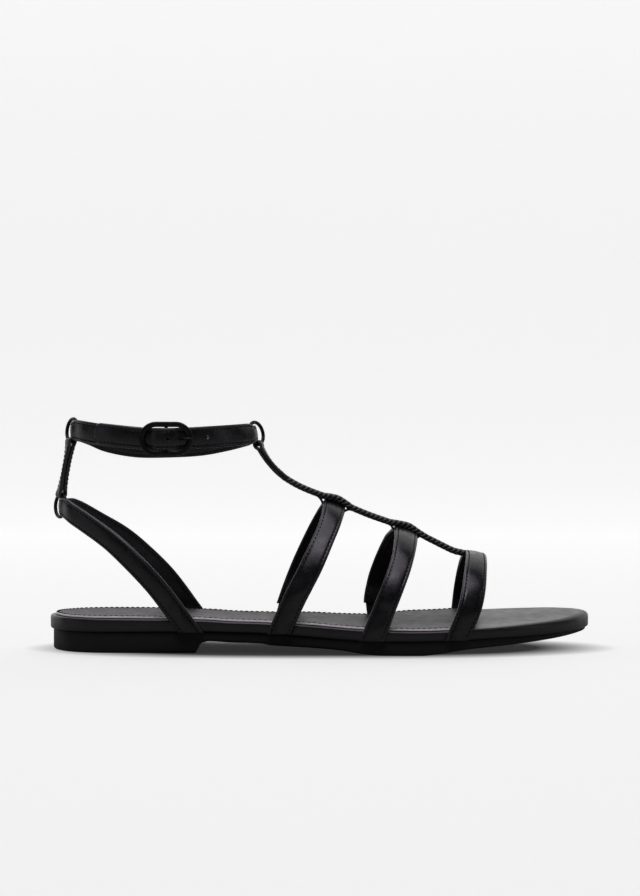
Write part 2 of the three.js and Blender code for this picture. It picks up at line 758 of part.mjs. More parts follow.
function ankleFrames(grow) {
  const path = pathPoints(vectors(ANKLE_STRAP), 100);
  const outward = (centre) => new THREE.Vector3(centre.x - 52, centre.y, 0);
  const width = threadedWidth(ANKLE_STRAP_WIDTH, [RING_ANKLE_BACK, RING_ANKLE_FRONT]);
  const lean = (t, centre) => {
    const share = THREE.MathUtils.smoothstep(centre.x, 70, 95);
    return up.clone().lerp(RING_ANKLE_FRONT.b, share).normalize();
  };
  const thickness = always(ANKLE_THICKNESS + 2 * grow);
  return framesAlong(path, lean, outward, (p) => width(p) + 2 * grow, thickness);
}

function strapRoom(frames) {
  return solid(strip(frames(CLEARANCE), 0));
}

function makeBackTab() {
  const high = onRing(RING_ANKLE_BACK, BOTTOM);
  const low = onRing(RING_HEEL, TOP);
  const path = pathPoints([high, high.clone().lerp(low, 0.5), low], 12);
  const straight = new THREE.Vector3(0, -1, 0);
  const across = (t) => RING_HEEL.a.clone().lerp(straight, Math.sin(Math.PI * t) * 0.8).normalize();
  const outward = always(new THREE.Vector3(-1, 0, 0));
  const frames = framesAlong(path, across, outward, always(TAB_WIDTH), always(TAB_THICKNESS));
  const tab = solid(strip(frames, 0.2))
    .add(solid(foldSleeve(RING_ANKLE_BACK, BOTTOM, 24)))
    .add(solid(foldSleeve(RING_HEEL, TOP, 24)));
  return geometryOf(
    tab
      .subtract(wireRoom(RING_ANKLE_BACK))
      .subtract(wireRoom(RING_HEEL))
      .subtract(strapRoom(ankleFrames))
      .subtract(strapRoom(heelFrames)),
  );
}

// ----------------------------------------------------------------------------------------------- buckle

function post(radius, height, sides = 12) {
  const geometry = new THREE.CylinderGeometry(radius, radius, height, sides);
  geometry.rotateX(Math.PI / 2);
  geometry.translate(BUCKLE.x, BAR.y, BUCKLE.z);
  return geometry;
}

function pinRod(radius) {
  const points = PIN.map((row) => new THREE.Vector3(row.x, row.y, BUCKLE.z));
  const path = pathPoints(points, 9);
  const rings = path.map((centre, i) => {
    const before = path[Math.max(i - 1, 0)];
    const after = path[Math.min(i + 1, path.length - 1)];
    const tangent = after.clone().sub(before).normalize();
    const side = new THREE.Vector3().crossVectors(tangent, up).normalize();
    const ring = [];
    for (let k = 0; k < 8; k += 1) {
      const angle = (2 * Math.PI * k) / 8;
      ring.push(
        centre
          .clone()
          .addScaledVector(side, radius * Math.cos(angle))
          .addScaledVector(up, radius * Math.sin(angle)),
      );
    }
    return ring;
  });
  return loft(rings);
}

function stadium(length, height) {
  const shape = new THREE.Shape();
  const radius = height / 2;
  const straight = length / 2 - radius;
  shape.moveTo(-straight, -radius);
  shape.lineTo(straight, -radius);
  shape.absarc(straight, 0, radius, -Math.PI / 2, Math.PI / 2, false);
  shape.lineTo(-straight, radius);
  shape.absarc(-straight, 0, radius, Math.PI / 2, (3 * Math.PI) / 2, false);
  return shape;
}

function frameRail(extra) {
  const inner = BUCKLE.rail * 2 + extra * 2;
  const shape = stadium(BUCKLE.length + 2 * extra, BUCKLE.height + 2 * extra);
  shape.holes.push(stadium(BUCKLE.length - inner, BUCKLE.height - inner));
  const round = 0.45;
  const depth = BUCKLE.depth + 2 * extra;
  const geometry = new THREE.ExtrudeGeometry(shape, {
    depth: depth - 2 * round,
    bevelThickness: round,
    bevelSize: round,
    bevelOffset: -round,
    bevelSegments: 1,
    curveSegments: 9,
  });
  geometry.translate(0, 0, -depth / 2 + round);
  geometry.rotateX(Math.PI / 2);
  geometry.translate(BUCKLE.x, BUCKLE.y, BUCKLE.z);
  return solid(geometry);
}

// The oval rail, with its centre bar set back on two lugs.
function makeBuckleFrame() {
  let frame = frameRail(0).add(solid(post(BAR.radius, BUCKLE.height - BUCKLE.rail)));
  for (const side of [-1, 1]) {
    const reach = BAR.y + BAR.radius - BUCKLE.y;
    const lug = new THREE.BoxGeometry(BAR_LUG.width, reach, BAR_LUG.height);
    const level = (BUCKLE.height - BUCKLE.rail) / 2;
    lug.translate(BUCKLE.x, BUCKLE.y + reach / 2, BUCKLE.z + side * level);
    frame = frame.add(solid(lug));
  }
  return geometryOf(frame);
}

function makeBucklePin() {
  const eye = post(BAR.radius + CLEARANCE + 0.8, 2 * PIN_RADIUS, 16);
  const bore = post(BAR.radius + CLEARANCE, 6, 16);
  return geometryOf(solid(pinRod(PIN_RADIUS)).add(solid(eye)).subtract(solid(bore)));
}

function punch(station) {
  const geometry = new THREE.CylinderGeometry(PUNCH.radius, PUNCH.radius, 12, 12);
  const row = ANKLE_STRAP.findLast((entry) => entry.x > station && entry.y < 0);
  geometry.translate(station, row.y, 97.3);
  return solid(geometry);
}

function makeAnkleStrap() {
  const foldRadius = BAR.radius + CLEARANCE + BAR_FOLD_THICKNESS;
  const fold = solid(post(foldRadius, BUCKLE.height - 2 * BUCKLE.rail - 1.2, 14));
  const barRoom = solid(post(BAR.radius + CLEARANCE, BUCKLE.height, 12));
  const slot = solid(post(foldRadius + 0.4, 2 * PIN_RADIUS + 2 * CLEARANCE + 0.4, 14));
  let strap = solid(strip(ankleFrames(0), 0.35)).add(fold).subtract(barRoom).subtract(slot);
  strap = strap.subtract(solid(pinRod(PIN_RADIUS + CLEARANCE + 0.15))).subtract(frameRail(CLEARANCE));
  strap = strap.subtract(wireRoom(RING_ANKLE_BACK)).subtract(wireRoom(RING_ANKLE_FRONT));
  PUNCH.stations.forEach((station) => {
    strap = strap.subtract(punch(station));
  });
  return geometryOf(strap);
}

// --------------------------------------------------------------------------------------------- the shoe

const leather = { color: 0x1d1c1f, roughness: 0.42, metalness: 0 };
const looks = {
  leather,
  bed: { color: 0x222124, roughness: 0.35, metalness: 0 },
  sole: { color: 0x161616, roughness: 0.7, metalness: 0 },
  elastic: { color: 0x19181a, roughness: 0.9, metalness: 0 },
  metal: { color: 0x1a1a1c, roughness: 0.35, metalness: 0.8 },
};

const pieces = [
  ['outsole', makeOutsole(), looks.sole],
  ['footbed', makeFootbed(), looks.bed],
  ['insole', makeInsole(), looks.bed],
  ['upper', makeUpper(), looks.leather],
  ['gore_rear', makeGore(REAR_STRAP, GORE_TOP.rear), looks.elastic],
  ['gore_middle', makeGore(MIDDLE_STRAP, GORE_TOP.middle), looks.elastic],
  ['heel_strap', geometryOf(solid(strip(heelFrames(0))).subtract(wireRoom(RING_HEEL))), looks.leather],
  ['back_tab', makeBackTab(), looks.leather],
  ['ring_heel', torus(RING_HEEL, WIRE_RADIUS, 7), looks.metal],
  ['ring_ankle_back', torus(RING_ANKLE_BACK, WIRE_RADIUS, 7), looks.metal],
  ['ring_ankle_front', torus(RING_ANKLE_FRONT, WIRE_RADIUS, 7), looks.metal],
  ['ankle_strap', makeAnkleStrap(), looks.leather],
  ['buckle_frame', makeBuckleFrame(), looks.metal],
  ['buckle_pin', makeBucklePin(), looks.metal],
];

const group = new THREE.Group();
for (const [name, geometry, look] of pieces) {
  const mesh = new THREE.Mesh(geometry, new THREE.MeshStandardMaterial(look));
  mesh.name = name;
  group.add(mesh);
}
group.position.x = -HEEL_CENTRE;

export default group;
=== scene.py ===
import json
import math

import bmesh
import bpy
import numpy as np
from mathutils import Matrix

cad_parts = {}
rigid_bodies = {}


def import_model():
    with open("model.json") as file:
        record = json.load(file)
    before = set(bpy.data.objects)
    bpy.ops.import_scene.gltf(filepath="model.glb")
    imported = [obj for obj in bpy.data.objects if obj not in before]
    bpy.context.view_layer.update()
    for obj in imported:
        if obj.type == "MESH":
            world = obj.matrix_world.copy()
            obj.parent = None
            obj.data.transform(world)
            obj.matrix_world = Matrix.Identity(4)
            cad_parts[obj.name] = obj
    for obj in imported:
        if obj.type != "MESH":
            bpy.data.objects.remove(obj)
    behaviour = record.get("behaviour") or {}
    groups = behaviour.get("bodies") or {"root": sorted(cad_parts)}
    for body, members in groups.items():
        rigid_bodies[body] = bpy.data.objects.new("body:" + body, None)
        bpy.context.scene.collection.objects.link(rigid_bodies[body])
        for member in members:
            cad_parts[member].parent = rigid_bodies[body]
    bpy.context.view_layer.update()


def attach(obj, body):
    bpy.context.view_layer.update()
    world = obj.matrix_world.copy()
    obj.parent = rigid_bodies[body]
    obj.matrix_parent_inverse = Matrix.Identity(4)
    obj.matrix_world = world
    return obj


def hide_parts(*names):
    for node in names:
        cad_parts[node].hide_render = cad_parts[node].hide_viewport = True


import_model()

# Sizes are in millimetres. x, the station, runs forwards from the back of the footbed, y from the
# lateral to the medial side and z up from the floor. HEEL_CENTRE is the station of the frame's origin.
MM = 0.001
HEEL_CENTRE = 33.0
CLEARANCE = 0.3

# footbed seen from above, from the back round the lateral side to the toe and back: station, y
OUTLINE = [
    (0, 0), (2.2, -12), (9.5, -22.5), (21, -28), (40, -29.3), (72, -29), (100, -29.2), (130, -34.5),
    (152, -40.5), (172, -41.5), (190, -39.5), (207, -34), (222, -26), (236, -15), (246.5, -3), (251.4, 8),
    (248.5, 19), (239, 29), (224, 36.5), (205, 40.5), (183, 41.5), (160, 38.5), (130, 30.5), (100, 26.5),
    (72, 27.5), (40, 29.3), (21, 28), (9.5, 22.5), (2.2, 12),
]
# station, height of the underside, of the seam over the outsole and of the footbed's rim
SIDE = [
    (0, 5.4, 9.5, 15.8), (40, 5.4, 9.5, 15.6), (72.5, 5.4, 9.5, 15.0), (85, 4.7, 9.1, 14.2),
    (99, 4.2, 8.7, 13.8), (103, 3.5, 8.5, 13.6), (121, 2.7, 7.5, 12.9), (134, 1.9, 6.7, 12.0),
    (144, 0.6, 6.4, 11.5), (152, 0, 6.3, 11.25), (170, 0, 6.5, 11.0), (177, 0.6, 6.6, 11.1),
    (184, 1.6, 6.8, 11.4), (192, 2.7, 7.0, 11.9), (206, 3.7, 7.4, 12.7), (220, 4.6, 7.5, 13.5),
    (235, 5.7, 7.9, 14.4), (246, 6.9, 8.6, 15.1), (252, 7.7, 9.1, 15.5),
]
# front of the heel block: station, height
BREAST = [(69.0, 0.0), (69.3, 2.6), (70.0, 3.7), (71.8, 4.6), (74.5, 5.35)]
WRAP_OVERHANG = 1.4
CUP_DEPTH = 1.1
SOCK_INSET = 2.4
SOCK_THICKNESS = 1.2
# the sock's stitches: how far in from its edge and how high over the footbed
SOCK_LINE = 0.8
SOCK_LINE_HEIGHT = 1.22
# station of the sock's front corners, and how far its front edge bows forwards of them
SOCK_FRONT = 195.0
FRONT_BOW = 2.5

# the foot inside the straps: station, lateral half-width, medial half-width, height of the widest point
LAST = [
    (95, 31.5, 29.5, 27), (112, 33, 31, 26), (132, 37, 35, 25), (150, 41.5, 39, 24),
    (170, 43.5, 42.5, 20), (190, 42.3, 44, 17), (206, 38, 43.5, 16),
]
# rows: height, station of the rear edge, of the front edge and of the rear edge on the medial side
# crest: station and height of the rear edge, then of the front edge. roundness: power of the arch
REAR_STRAP = dict(
    roundness=1.75,
    rows=[
        (8.4, 100.7, 111.9, 101.0), (20, 105.8, 117.0, 104.8), (29, 109.9, 121.4, 107.9),
        (38, 114.6, 125.9, 111.4), (50, 120.4, 131.2, 116.8), (58, 124.2, 134.8, 120.8),
        (64, 126.3, 137.1, 124.1),
    ],
    crest=(127.4, 69.4, 137.4, 65.6),
)
MIDDLE_STRAP = dict(
    roundness=1.85,
    rows=[
        (6.3, 142.0, 153.4, 147.0), (17, 146.5, 157.4, 146.1), (29, 151.4, 162.1, 148.0),
        (38, 155.1, 165.8, 150.8), (46, 158.0, 168.7, 153.9), (52, 159.4, 170.6, 156.5),
    ],
    crest=(160.3, 57.0, 170.9, 53.2),
)
TOE_STRAP = dict(
    roundness=2.1,
    rows=[
        (6.8, 180.6, 191.2, 188.4), (15, 184.0, 195.2, 189.6), (22, 186.7, 197.8, 190.3),
        (30, 188.7, 199.7, 191.2), (37, 190.2, 200.9, 192.0), (42, 191.6, 202.0, 192.6),
    ],
    crest=(192.8, 45.4, 202.6, 43.7),
)
STRAP_THICKNESS = 2.2
STRAP_WAVE = 0.012
# heights of the foot's middle and, roughly, of its widest point
FOOT_MIDDLE = 20.0
FOOT_WIDE = 24.0
REAR_GORE_TOP = 17.6
MIDDLE_GORE_TOP = 17.2
GORE_WIDTH = 8.0
GORE_THICKNESS = 1.5

# centre line of the spine in the middle plane: station, height
SPINE = [
    (100.9, 86.8), (105.1, 82.0), (109.3, 78.4), (114.9, 75.1), (120.5, 72.6), (126.5, 70.3), (129.0, 69.3),
    (133.0, 67.6), (137.3, 65.8), (140.1, 64.6), (148.5, 61.2), (156.9, 58.2), (161.5, 56.4), (166.0, 54.8),
    (170.9, 52.6), (176.5, 50.0), (182.1, 47.2), (187.7, 44.6), (193.5, 43.2),
]
PLAIT_START = 109.0

WIRE = 0.85
RING_RADIUS = 5.3
# leather folded round a wire: a layer where it lies flat, a layer in the bend, the bend's middle line
FOLD_LAYER = 1.9
BAR_LAYER = 1.5
BEND_LAYER = 1.2
BEND_RADIUS = WIRE + BEND_LAYER / 2 + 0.05
# the two layers' middles lie half a layer and this much from the fold's own middle
FOLD_GAP = 0.02

TAB_WIDTH = 5.0
HEEL_STRAP_WIDTH = 9.4
ANKLE_STRAP_WIDTH = 10.0
THREADED_WIDTH = 7.7
ANKLE_THICKNESS = 1.7
# centre lines: the heel strap's leg beside the foot, its bend in the ring, and the whole ankle strap
HEEL_LEG = [
    (66.8, 30.5, 9.9), (62.8, 30.7, 15.4), (58.6, 31.3, 21.1), (50.9, 31.2, 30.9), (41.6, 29.6, 40.5),
    (30.9, 26.0, 50.0), (19.2, 19.0, 57.7),
]
HEEL_BEND = [
    (10.8, -12.6, 62.6), (7.0, -7.7, 64.8), (4.9, -4.9, 65.5), (4.45, -2.0, 65.8), (4.9, 1.0, 65.7),
    (7.2, 5.2, 65.0), (11.0, 10.8, 63.2),
]
ANKLE_STRAP = [
    (55.2, -29.5, 96.7), (50.5, -28.4, 96.7), (45.1, -28.0, 96.9), (36, -26.0, 97.5), (26, -21.0, 98.6),
    (17.0, -13.2, 100.0), (12.6, -7.7, 100.7), (10.3, -4.9, 100.9), (9.85, -2.0, 100.9),
    (10.3, 1.0, 100.8), (12.6, 5.2, 100.4), (16.5, 11.0, 98.9), (24, 19.0, 95.5), (37, 26.5, 93.0),
    (52, 29.0, 92.9), (68, 26.6, 93.8), (81, 18.6, 96.1), (88.8, 10.6, 98.0), (92.9, 5.2, 99.1),
    (95.0, 1.0, 99.4), (95.3, -2.0, 99.4), (94.7, -4.9, 99.3), (92.4, -8.4, 99.1), (87.5, -14.6, 98.6),
    (81.0, -21.2, 98.0), (73.0, -26.8, 97.4), (66.4, -29.8, 97.0), (62.5, -30.8, 96.8),
    (59.0, -32.9, 96.7), (55.7, -33.7, 96.7), (52.4, -32.9, 96.7), (48.9, -31.0, 96.7),
    (45.0, -30.2, 97.0), (38.5, -28.9, 97.6), (31.0, -26.1, 98.4), (23.0, -21.3, 99.3),
]
BUCKLE = dict(x=56.0, y=-32.3, z=96.7, length=24.3, height=15.5, rail=2.45, depth=1.8)
BAR_Y = -30.6
BAR_RADIUS = 0.8
BAR_FOLD = 0.8
PIN_RADIUS = 0.7
# station, y
PIN = [(57.3, -30.7), (60.0, -31.0), (62.4, -32.0), (65.0, -34.2), (68.0, -34.3)]
PUNCHES = [57.2, 73.8]
PUNCH_RADIUS = 0.82

STITCH_PITCH = 2.05
STITCH_FROM_EDGE = 1.5
SOCK_STITCH_PITCH = 2.5
STITCH_SINK = 0.14

UP = np.array([0.0, 0.0, 1.0])
MEDIAL = np.array([0.0, 1.0, 0.0])


# ---- small tools


def unit(v):
    v = np.asarray(v, float)
    return v / np.maximum(np.linalg.norm(v, axis=-1, keepdims=True), 1e-12)


def smooth(x, low, high):
    t = np.clip((np.asarray(x, float) - low) / (high - low), 0, 1)
    return t * t * (3 - 2 * t)


def bell(x, centre, width):
    return np.exp(-(((np.asarray(x, float) - centre) / width) ** 2))


def monotone(xs, ys):
    """Smooth curve through the points that never overshoots them."""
    xs, ys = np.asarray(xs, float), np.asarray(ys, float)
    chord = np.diff(ys) / np.diff(xs)
    slope = np.empty(len(xs))
    slope[0], slope[-1] = chord[0], chord[-1]
    for i in range(1, len(xs) - 1):
        product = chord[i - 1] * chord[i]
        slope[i] = 0 if product <= 0 else 2 * product / (chord[i - 1] + chord[i])

    def at(x):
        x = np.clip(np.asarray(x, float), xs[0], xs[-1])
        i = np.clip(np.searchsorted(xs, x, side="left") - 1, 0, len(xs) - 2)
        span = xs[i + 1] - xs[i]
        t = (x - xs[i]) / span
        s = 1 - t
        start = (1 + 2 * t) * s * s * ys[i] + t * s * s * span * slope[i]
        return start + t * t * (1 + 2 * s) * ys[i + 1] - t * t * s * span * slope[i + 1]

    return at


def column(rows, k):
    return monotone([r[0] for r in rows], [r[k] for r in rows])


def run_of(points):
    """Distance from the polyline's start to each of its points."""
    return np.concatenate([[0], np.cumsum(np.linalg.norm(np.diff(points, axis=0), axis=1))])


def sample(at, run, values):
    """Rows of values between those given at the distances in run."""
    return np.stack([np.interp(at, run, values[:, k]) for k in range(values.shape[1])], axis=-1)


def even(points, count):
    """The polyline's points again, evenly spaced."""
    points = np.asarray(points, float)
    run = run_of(points)
    return sample(np.linspace(0, run[-1], count), run, points)


def tangents(path, closed=False):
    if closed:
        return unit(np.roll(path, -1, 0) - np.roll(path, 1, 0))
    return unit(np.gradient(path, axis=0))


def square_to(wanted, tangent):
    """The wanted directions, each turned square to the tangent."""
    return unit(wanted - (wanted * tangent).sum(1)[:, None] * tangent)


def plane_normals(tangent):
    """Upward normals of a curve that lies in the middle plane."""
    return np.column_stack([-tangent[:, 2], np.zeros(len(tangent)), tangent[:, 0]])


def blend(a, b, share):
    return a * (1 - share) + b * share


def catmull(controls, count, closed=False):
    """Centripetal Catmull-Rom curve through the controls, as evenly spaced points."""
    p = np.asarray(controls, float)
    if closed:
        p = np.vstack([p[-1:], p, p[:2]])
    else:
        p = np.vstack([2 * p[:1] - p[1:2], p, 2 * p[-1:] - p[-2:-1]])
    dense = []
    for i in range(1, len(p) - 2):
        a, b, c, d = p[i - 1 : i + 3]
        t = [0.0]
        for q, r in ((a, b), (b, c), (c, d)):
            t.append(t[-1] + max(math.sqrt(np.linalg.norm(r - q)), 1e-6))
        u = np.linspace(t[1], t[2], 24, endpoint=False)[:, None]
        mix = lambda i, j, q, r: (t[j] - u) / (t[j] - t[i]) * q + (u - t[i]) / (t[j] - t[i]) * r
        a, b, c = mix(0, 1, a, b), mix(1, 2, b, c), mix(2, 3, c, d)
        dense.append(mix(1, 2, mix(0, 2, a, b), mix(1, 3, b, c)))
    return even(np.vstack(dense + [p[-2][None]]), count)


def new_object(name, data):
    made = bpy.data.objects.new(name, data)
    bpy.context.scene.collection.objects.link(made)
    return made


def new_mesh(name, verts, faces):
    """A mesh in metres about the frame's origin, from points in millimetres along the foot."""
    mesh = bpy.data.meshes.new(name)
    mesh.from_pydata(((verts - [HEEL_CENTRE, 0, 0]) * MM).tolist(), [], faces)
    return mesh


def rework(mesh, change):
    """Runs an edit on a mesh and turns its faces outwards."""
    work = bmesh.new()
    work.from_mesh(mesh)
    change(work)
    bmesh.ops.recalc_face_normals(work, faces=work.faces)
    work.to_mesh(mesh)
    work.free()


def drop_repeats(work):
    bmesh.ops.remove_doubles(work, verts=work.verts, dist=1e-7)
    bmesh.ops.dissolve_degenerate(work, edges=work.edges, dist=1e-8)


class Mesh:
    """Vertices and faces in millimetres. A vertex's mark, 0 to 1, says where its material changes."""

    def __init__(self):
        self.verts, self.faces, self.marks = [], [], []
        self.count = 0

    def add(self, verts, faces, mark=0.0):
        """Adds a shape whose faces count from its own first vertex."""
        base = self.count
        self.add_points(verts, mark)
        self.faces.extend([tuple(i + base for i in f) for f in faces])

    def add_points(self, verts, mark=0.0):
        verts = np.asarray(verts, float).reshape(-1, 3)
        self.verts.append(verts)
        self.marks.append(np.broadcast_to(np.asarray(mark, float), (len(verts),)).copy())
        self.count += len(verts)

    def object(self, name, material, nodes=(), slot="strap_leather", sharp=None):
        """The finished piece, which stands for the CAD's nodes. Edges over sharp degrees stay hard."""
        mesh = new_mesh(name, np.vstack(self.verts), self.faces)
        mesh.attributes.new("mark", "FLOAT", "POINT").data.foreach_set(
            "value", np.concatenate(self.marks).astype(np.float32)
        )
        mesh.materials.append(material)
        mesh.polygons.foreach_set("use_smooth", [True] * len(mesh.polygons))
        mesh.update()
        made = new_object(name, mesh)
        rework(mesh, drop_repeats)
        if sharp is not None:
            mesh.set_sharp_from_angle(angle=math.radians(sharp))
        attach(made, "root")
        if nodes:
            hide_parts(*nodes)
        return made


def set_across(section, centre, across, up):
    """A flat section's points, set square across a path at one of its frames."""
    return centre + section[:, :1] * across + section[:, 1:2] * up


def loft(rings, closed=False, capped=True):
    """Faces that skin rings of points, which all have the same count."""
    n, count = len(rings[0]), len(rings)
    faces = []
    for r in range(count if closed else count - 1):
        low, high = r * n, ((r + 1) % count) * n
        for i in range(n):
            j = (i + 1) % n
            faces.append((low + i, low + j, high + j, high + i))
    if capped and not closed:
        faces.append(tuple(range(n - 1, -1, -1)))
        faces.append(tuple((count - 1) * n + i for i in range(n)))
    return np.vstack([np.asarray(r, float) for r in rings]), faces


def tube(path, radius, sides=12, closed=False, hint=UP, flat=1.0):
    """A round rod along a path, flattened along the hint. radius is one number, or one for each point."""
    path = np.asarray(path, float)
    radius = np.broadcast_to(np.asarray(radius, float), (len(path),))
    tangent = tangents(path, closed)
    side = unit(np.cross(tangent, hint))
    top = np.cross(side, tangent)
    angle = np.linspace(0, 2 * math.pi, sides, endpoint=False)[:, None]
    rings = [
        c + r * (np.cos(angle) * s + flat * np.sin(angle) * t)
        for c, r, s, t in zip(path, radius, side, top)
    ]
    return loft(rings, closed=closed)


# ---- sole data

under_at, seam_at, rim_at = (column(SIDE, k) for k in (1, 2, 3))
breast_at = lambda x: np.interp(x, [p[0] for p in BREAST], [p[1] for p in BREAST])
dense_outline = catmull(OUTLINE, 4001, closed=True)
toe_tip = int(np.argmax(dense_outline[:, 0]))
lateral_part, medial_part = dense_outline[: toe_tip + 1], dense_outline[toe_tip:][::-1]
TOE_X = float(dense_outline[toe_tip, 0])

# How much higher the footbed's rim stands on the forefoot's medial side, and how much lower on the heel's.
FOREFOOT_TILT = 1.7
HEEL_TILT = 0.6


def band_y(x, side):
    """The footbed's outline at a station: side is -1 for lateral, 1 for medial."""
    part = lateral_part if side < 0 else medial_part
    return np.interp(x, part[:, 0], part[:, 1])


def cup(x, y):
    """How far the footbed's top lies below the rim's height in SIDE: it is hollow across and tilted."""
    forefoot = FOREFOOT_TILT * smooth(x, 148, 172) * (1 - 0.3 * smooth(x, 232, 250))
    heel = HEEL_TILT * (1 - smooth(x, 95, 125))
    tilt = (heel - forefoot) * smooth(y, -14, 20)
    lateral, medial = band_y(x, -1), band_y(x, 1)
    half = np.maximum((medial - lateral) / 2, 1)
    across = (y - (medial + lateral) / 2) / half
    ends = smooth(x, 2, 24) * (1 - smooth(x, 225, 248))
    return CUP_DEPTH * np.maximum(0, 1 - across**2) * ends + tilt


def sole_stations(step, extra=()):
    """Stations along the foot, close together at the round ends."""
    back_length, front_length = 20, 25
    back = back_length * (np.linspace(0, 1, 22) ** 2)
    front = TOE_X - front_length * (np.linspace(1, 0, 26) ** 2)
    middle = np.arange(back_length + step, TOE_X - front_length - step / 2, step)
    return np.unique(np.round(np.concatenate([back, middle, front, np.asarray(extra, float)]), 4))


def between(a, b, columns):
    """The points that divide the line from a to b into columns, without its ends."""
    share = np.linspace(0, 1, columns + 1)[1:-1]
    return a + (b - a) * share[:, None]


def plate(mesh, xs, levels, columns, front_open=False, mark=0.0, under=None):
    """A plate with the sole's outline. levels are (inset, height function) from the bottom up, mark is one
    number or one for each level. front_open ends it in a bowed edge across the foot."""
    lateral = np.stack([xs, band_y(xs, -1)], axis=1)
    medial = np.stack([xs, band_y(xs, 1)], axis=1)
    if front_open:
        front = between(lateral[-1], medial[-1], columns)
        front[:, 0] += FRONT_BOW * np.sin(math.pi * np.linspace(0, 1, columns + 1)[1:-1])
        loop = np.vstack([lateral, front, medial[::-1][:-1]])
    else:
        loop = np.vstack([lateral, medial[::-1][1:-1]])
    n, rows = len(loop), len(xs)
    tangent = tangents(loop, closed=True)
    inward = np.stack([-tangent[:, 1], tangent[:, 0]], axis=1)
    rings = []
    for inset, height in levels:
        flat = loop + inward * inset
        rings.append(np.column_stack([flat, height(flat[:, 0], flat[:, 1])]))
    base = mesh.count
    marks = np.repeat(np.broadcast_to(mark, (len(levels),)), n)
    mesh.add(*loft(rings, capped=False), marks)

    def cap(ring, first, height, flip):
        """Closes a ring with rows across the foot. first is the number of the ring's first vertex."""
        grid, inner = [], []
        start = mesh.count
        for i in range(rows):
            left, right = i, (n - i) % n
            if front_open and i == rows - 1:
                grid.append([first + k for k in range(rows - 1, rows + columns)])
            elif left == right or i == rows - 1:
                grid.append([first + left] * (columns + 1))
            else:
                row = between(ring[left, :2], ring[right, :2], columns)
                ids = [start + len(inner) + k for k in range(len(row))]
                inner.extend(np.column_stack([row, height(row[:, 0], row[:, 1])]).tolist())
                grid.append([first + left] + ids + [first + right])
        mesh.add_points(inner)
        for low, high in zip(grid, grid[1:]):
            for c in range(columns):
                corners = [low[c], low[c + 1], high[c + 1], high[c]]
                corners = [v for k, v in enumerate(corners) if v not in corners[:k]]
                if len(corners) > 2:
                    mesh.faces.append(tuple(corners[::-1] if flip else corners))

    cap(rings[0], base, under or levels[0][1], False)
    cap(rings[-1], base + (len(rings) - 1) * n, levels[-1][1], True)
    return loop, inward


# ---- strap tools


def ring_frame(x, z, yaw, lean):
    """A wire ring's centre c, width direction a, height direction b and axis n, turned in degrees."""
    turn, tip = math.radians(yaw), math.radians(lean)
    a = np.array([math.sin(turn), -math.cos(turn), 0])
    up = np.array([math.sin(tip), 0, math.cos(tip)])
    n = unit(np.cross(a, up))
    return dict(c=np.array([x, 0, z]), a=a, b=np.cross(n, a), n=n)


RING_HEEL = ring_frame(4.2, 65.8, 34, 5)
RING_ANKLE_BACK = ring_frame(9.6, 100.9, 34, 8)
RING_ANKLE_FRONT = ring_frame(95.5, 99.4, -34, -14)


def on_ring(ring, degrees):
    angle = math.radians(degrees)
    return ring["c"] + RING_RADIUS * (math.cos(angle) * ring["a"] + math.sin(angle) * ring["b"])


class Strip:
    """A strap's frames: centre c, tangent t, width direction w, outward normal n, width and thickness."""

    def __init__(self, c, t, w, n, width, thick):
        self.c, self.t, self.w, self.n = c, t, w, n
        self.width = np.broadcast_to(np.asarray(width, float), (len(c),)).copy()
        self.thick = np.broadcast_to(np.asarray(thick, float), (len(c),)).copy()
        self.s = run_of(c)
        self.length = self.s[-1]

    def at(self, s):
        """Centre, tangent, width direction, normal, width and thickness at distances s along the run."""
        c, t, w, n = (sample(s, self.s, a) for a in (self.c, self.t, self.w, self.n))
        width, thick = np.interp(s, self.s, self.width), np.interp(s, self.s, self.thick)
        return c, unit(t), unit(w), unit(n), width, thick


def strip_along(centre, wanted, outward, width, thick):
    """A strip whose width lies near the wanted direction and whose normal is on the outward side."""
    centre = np.asarray(centre, float)
    tangent = tangents(centre)
    w = square_to(np.broadcast_to(wanted, centre.shape), tangent)
    n = np.cross(tangent, w)
    flip = np.sign((n * outward).sum(1))
    flip[flip == 0] = 1
    return Strip(centre, tangent, w, unit(n * flip[:, None]), width, thick)


def strip_between(rear, front, thickness):
    """A strip whose outer face runs through a rear and a front edge, away from the middle of the foot."""
    middle = (rear + front) / 2
    tangent = tangents(middle)
    w = unit(front - rear)
    n = unit(np.cross(tangent, w))
    outward = np.column_stack([np.zeros(len(middle)), middle[:, 1], (middle[:, 2] - FOOT_MIDDLE) * 0.6])
    n *= np.sign((n * outward).sum(1))[:, None]
    width = np.linalg.norm(front - rear, axis=1)
    return Strip(middle - n * thickness / 2, tangent, w, n, width, thickness)


def soften(strip, passes=2):
    """Evens out the frames' directions where the table's rows meet."""
    for _ in range(passes):
        for name in ("w", "n"):
            a = getattr(strip, name)
            mixed = a.copy()
            mixed[1:-1] = (a[:-2] + 2 * a[1:-1] + a[2:]) / 4
            setattr(strip, name, unit(mixed))
    return strip


def away_from(path, x):
    """Level directions from the vertical line in the middle plane at station x."""
    outward = path - [x, 0, 0]
    outward[:, 2] = 0
    return outward


# Points round a strap's section. Each edge turns through EDGE_SWEEP degrees both ways.
OUTER_SAMPLES = 23
INNER_SAMPLES = 13
EDGE_SAMPLES = 7
EDGE_SWEEP = 72
# A fine line between leather and lining runs along the edge, and a soft bead between edge and stitches.
LINING_LINE = 0.09
BEAD = 0.15
CROWN_POWER = 2.2


def edge_radius(half_thick):
    return np.minimum(0.85 * half_thick, 0.9)


def crowned(u, flat, crown):
    """How far a crowned face stands above its edges, at u across."""
    return crown * (1 - np.abs(u / flat) ** CROWN_POWER)


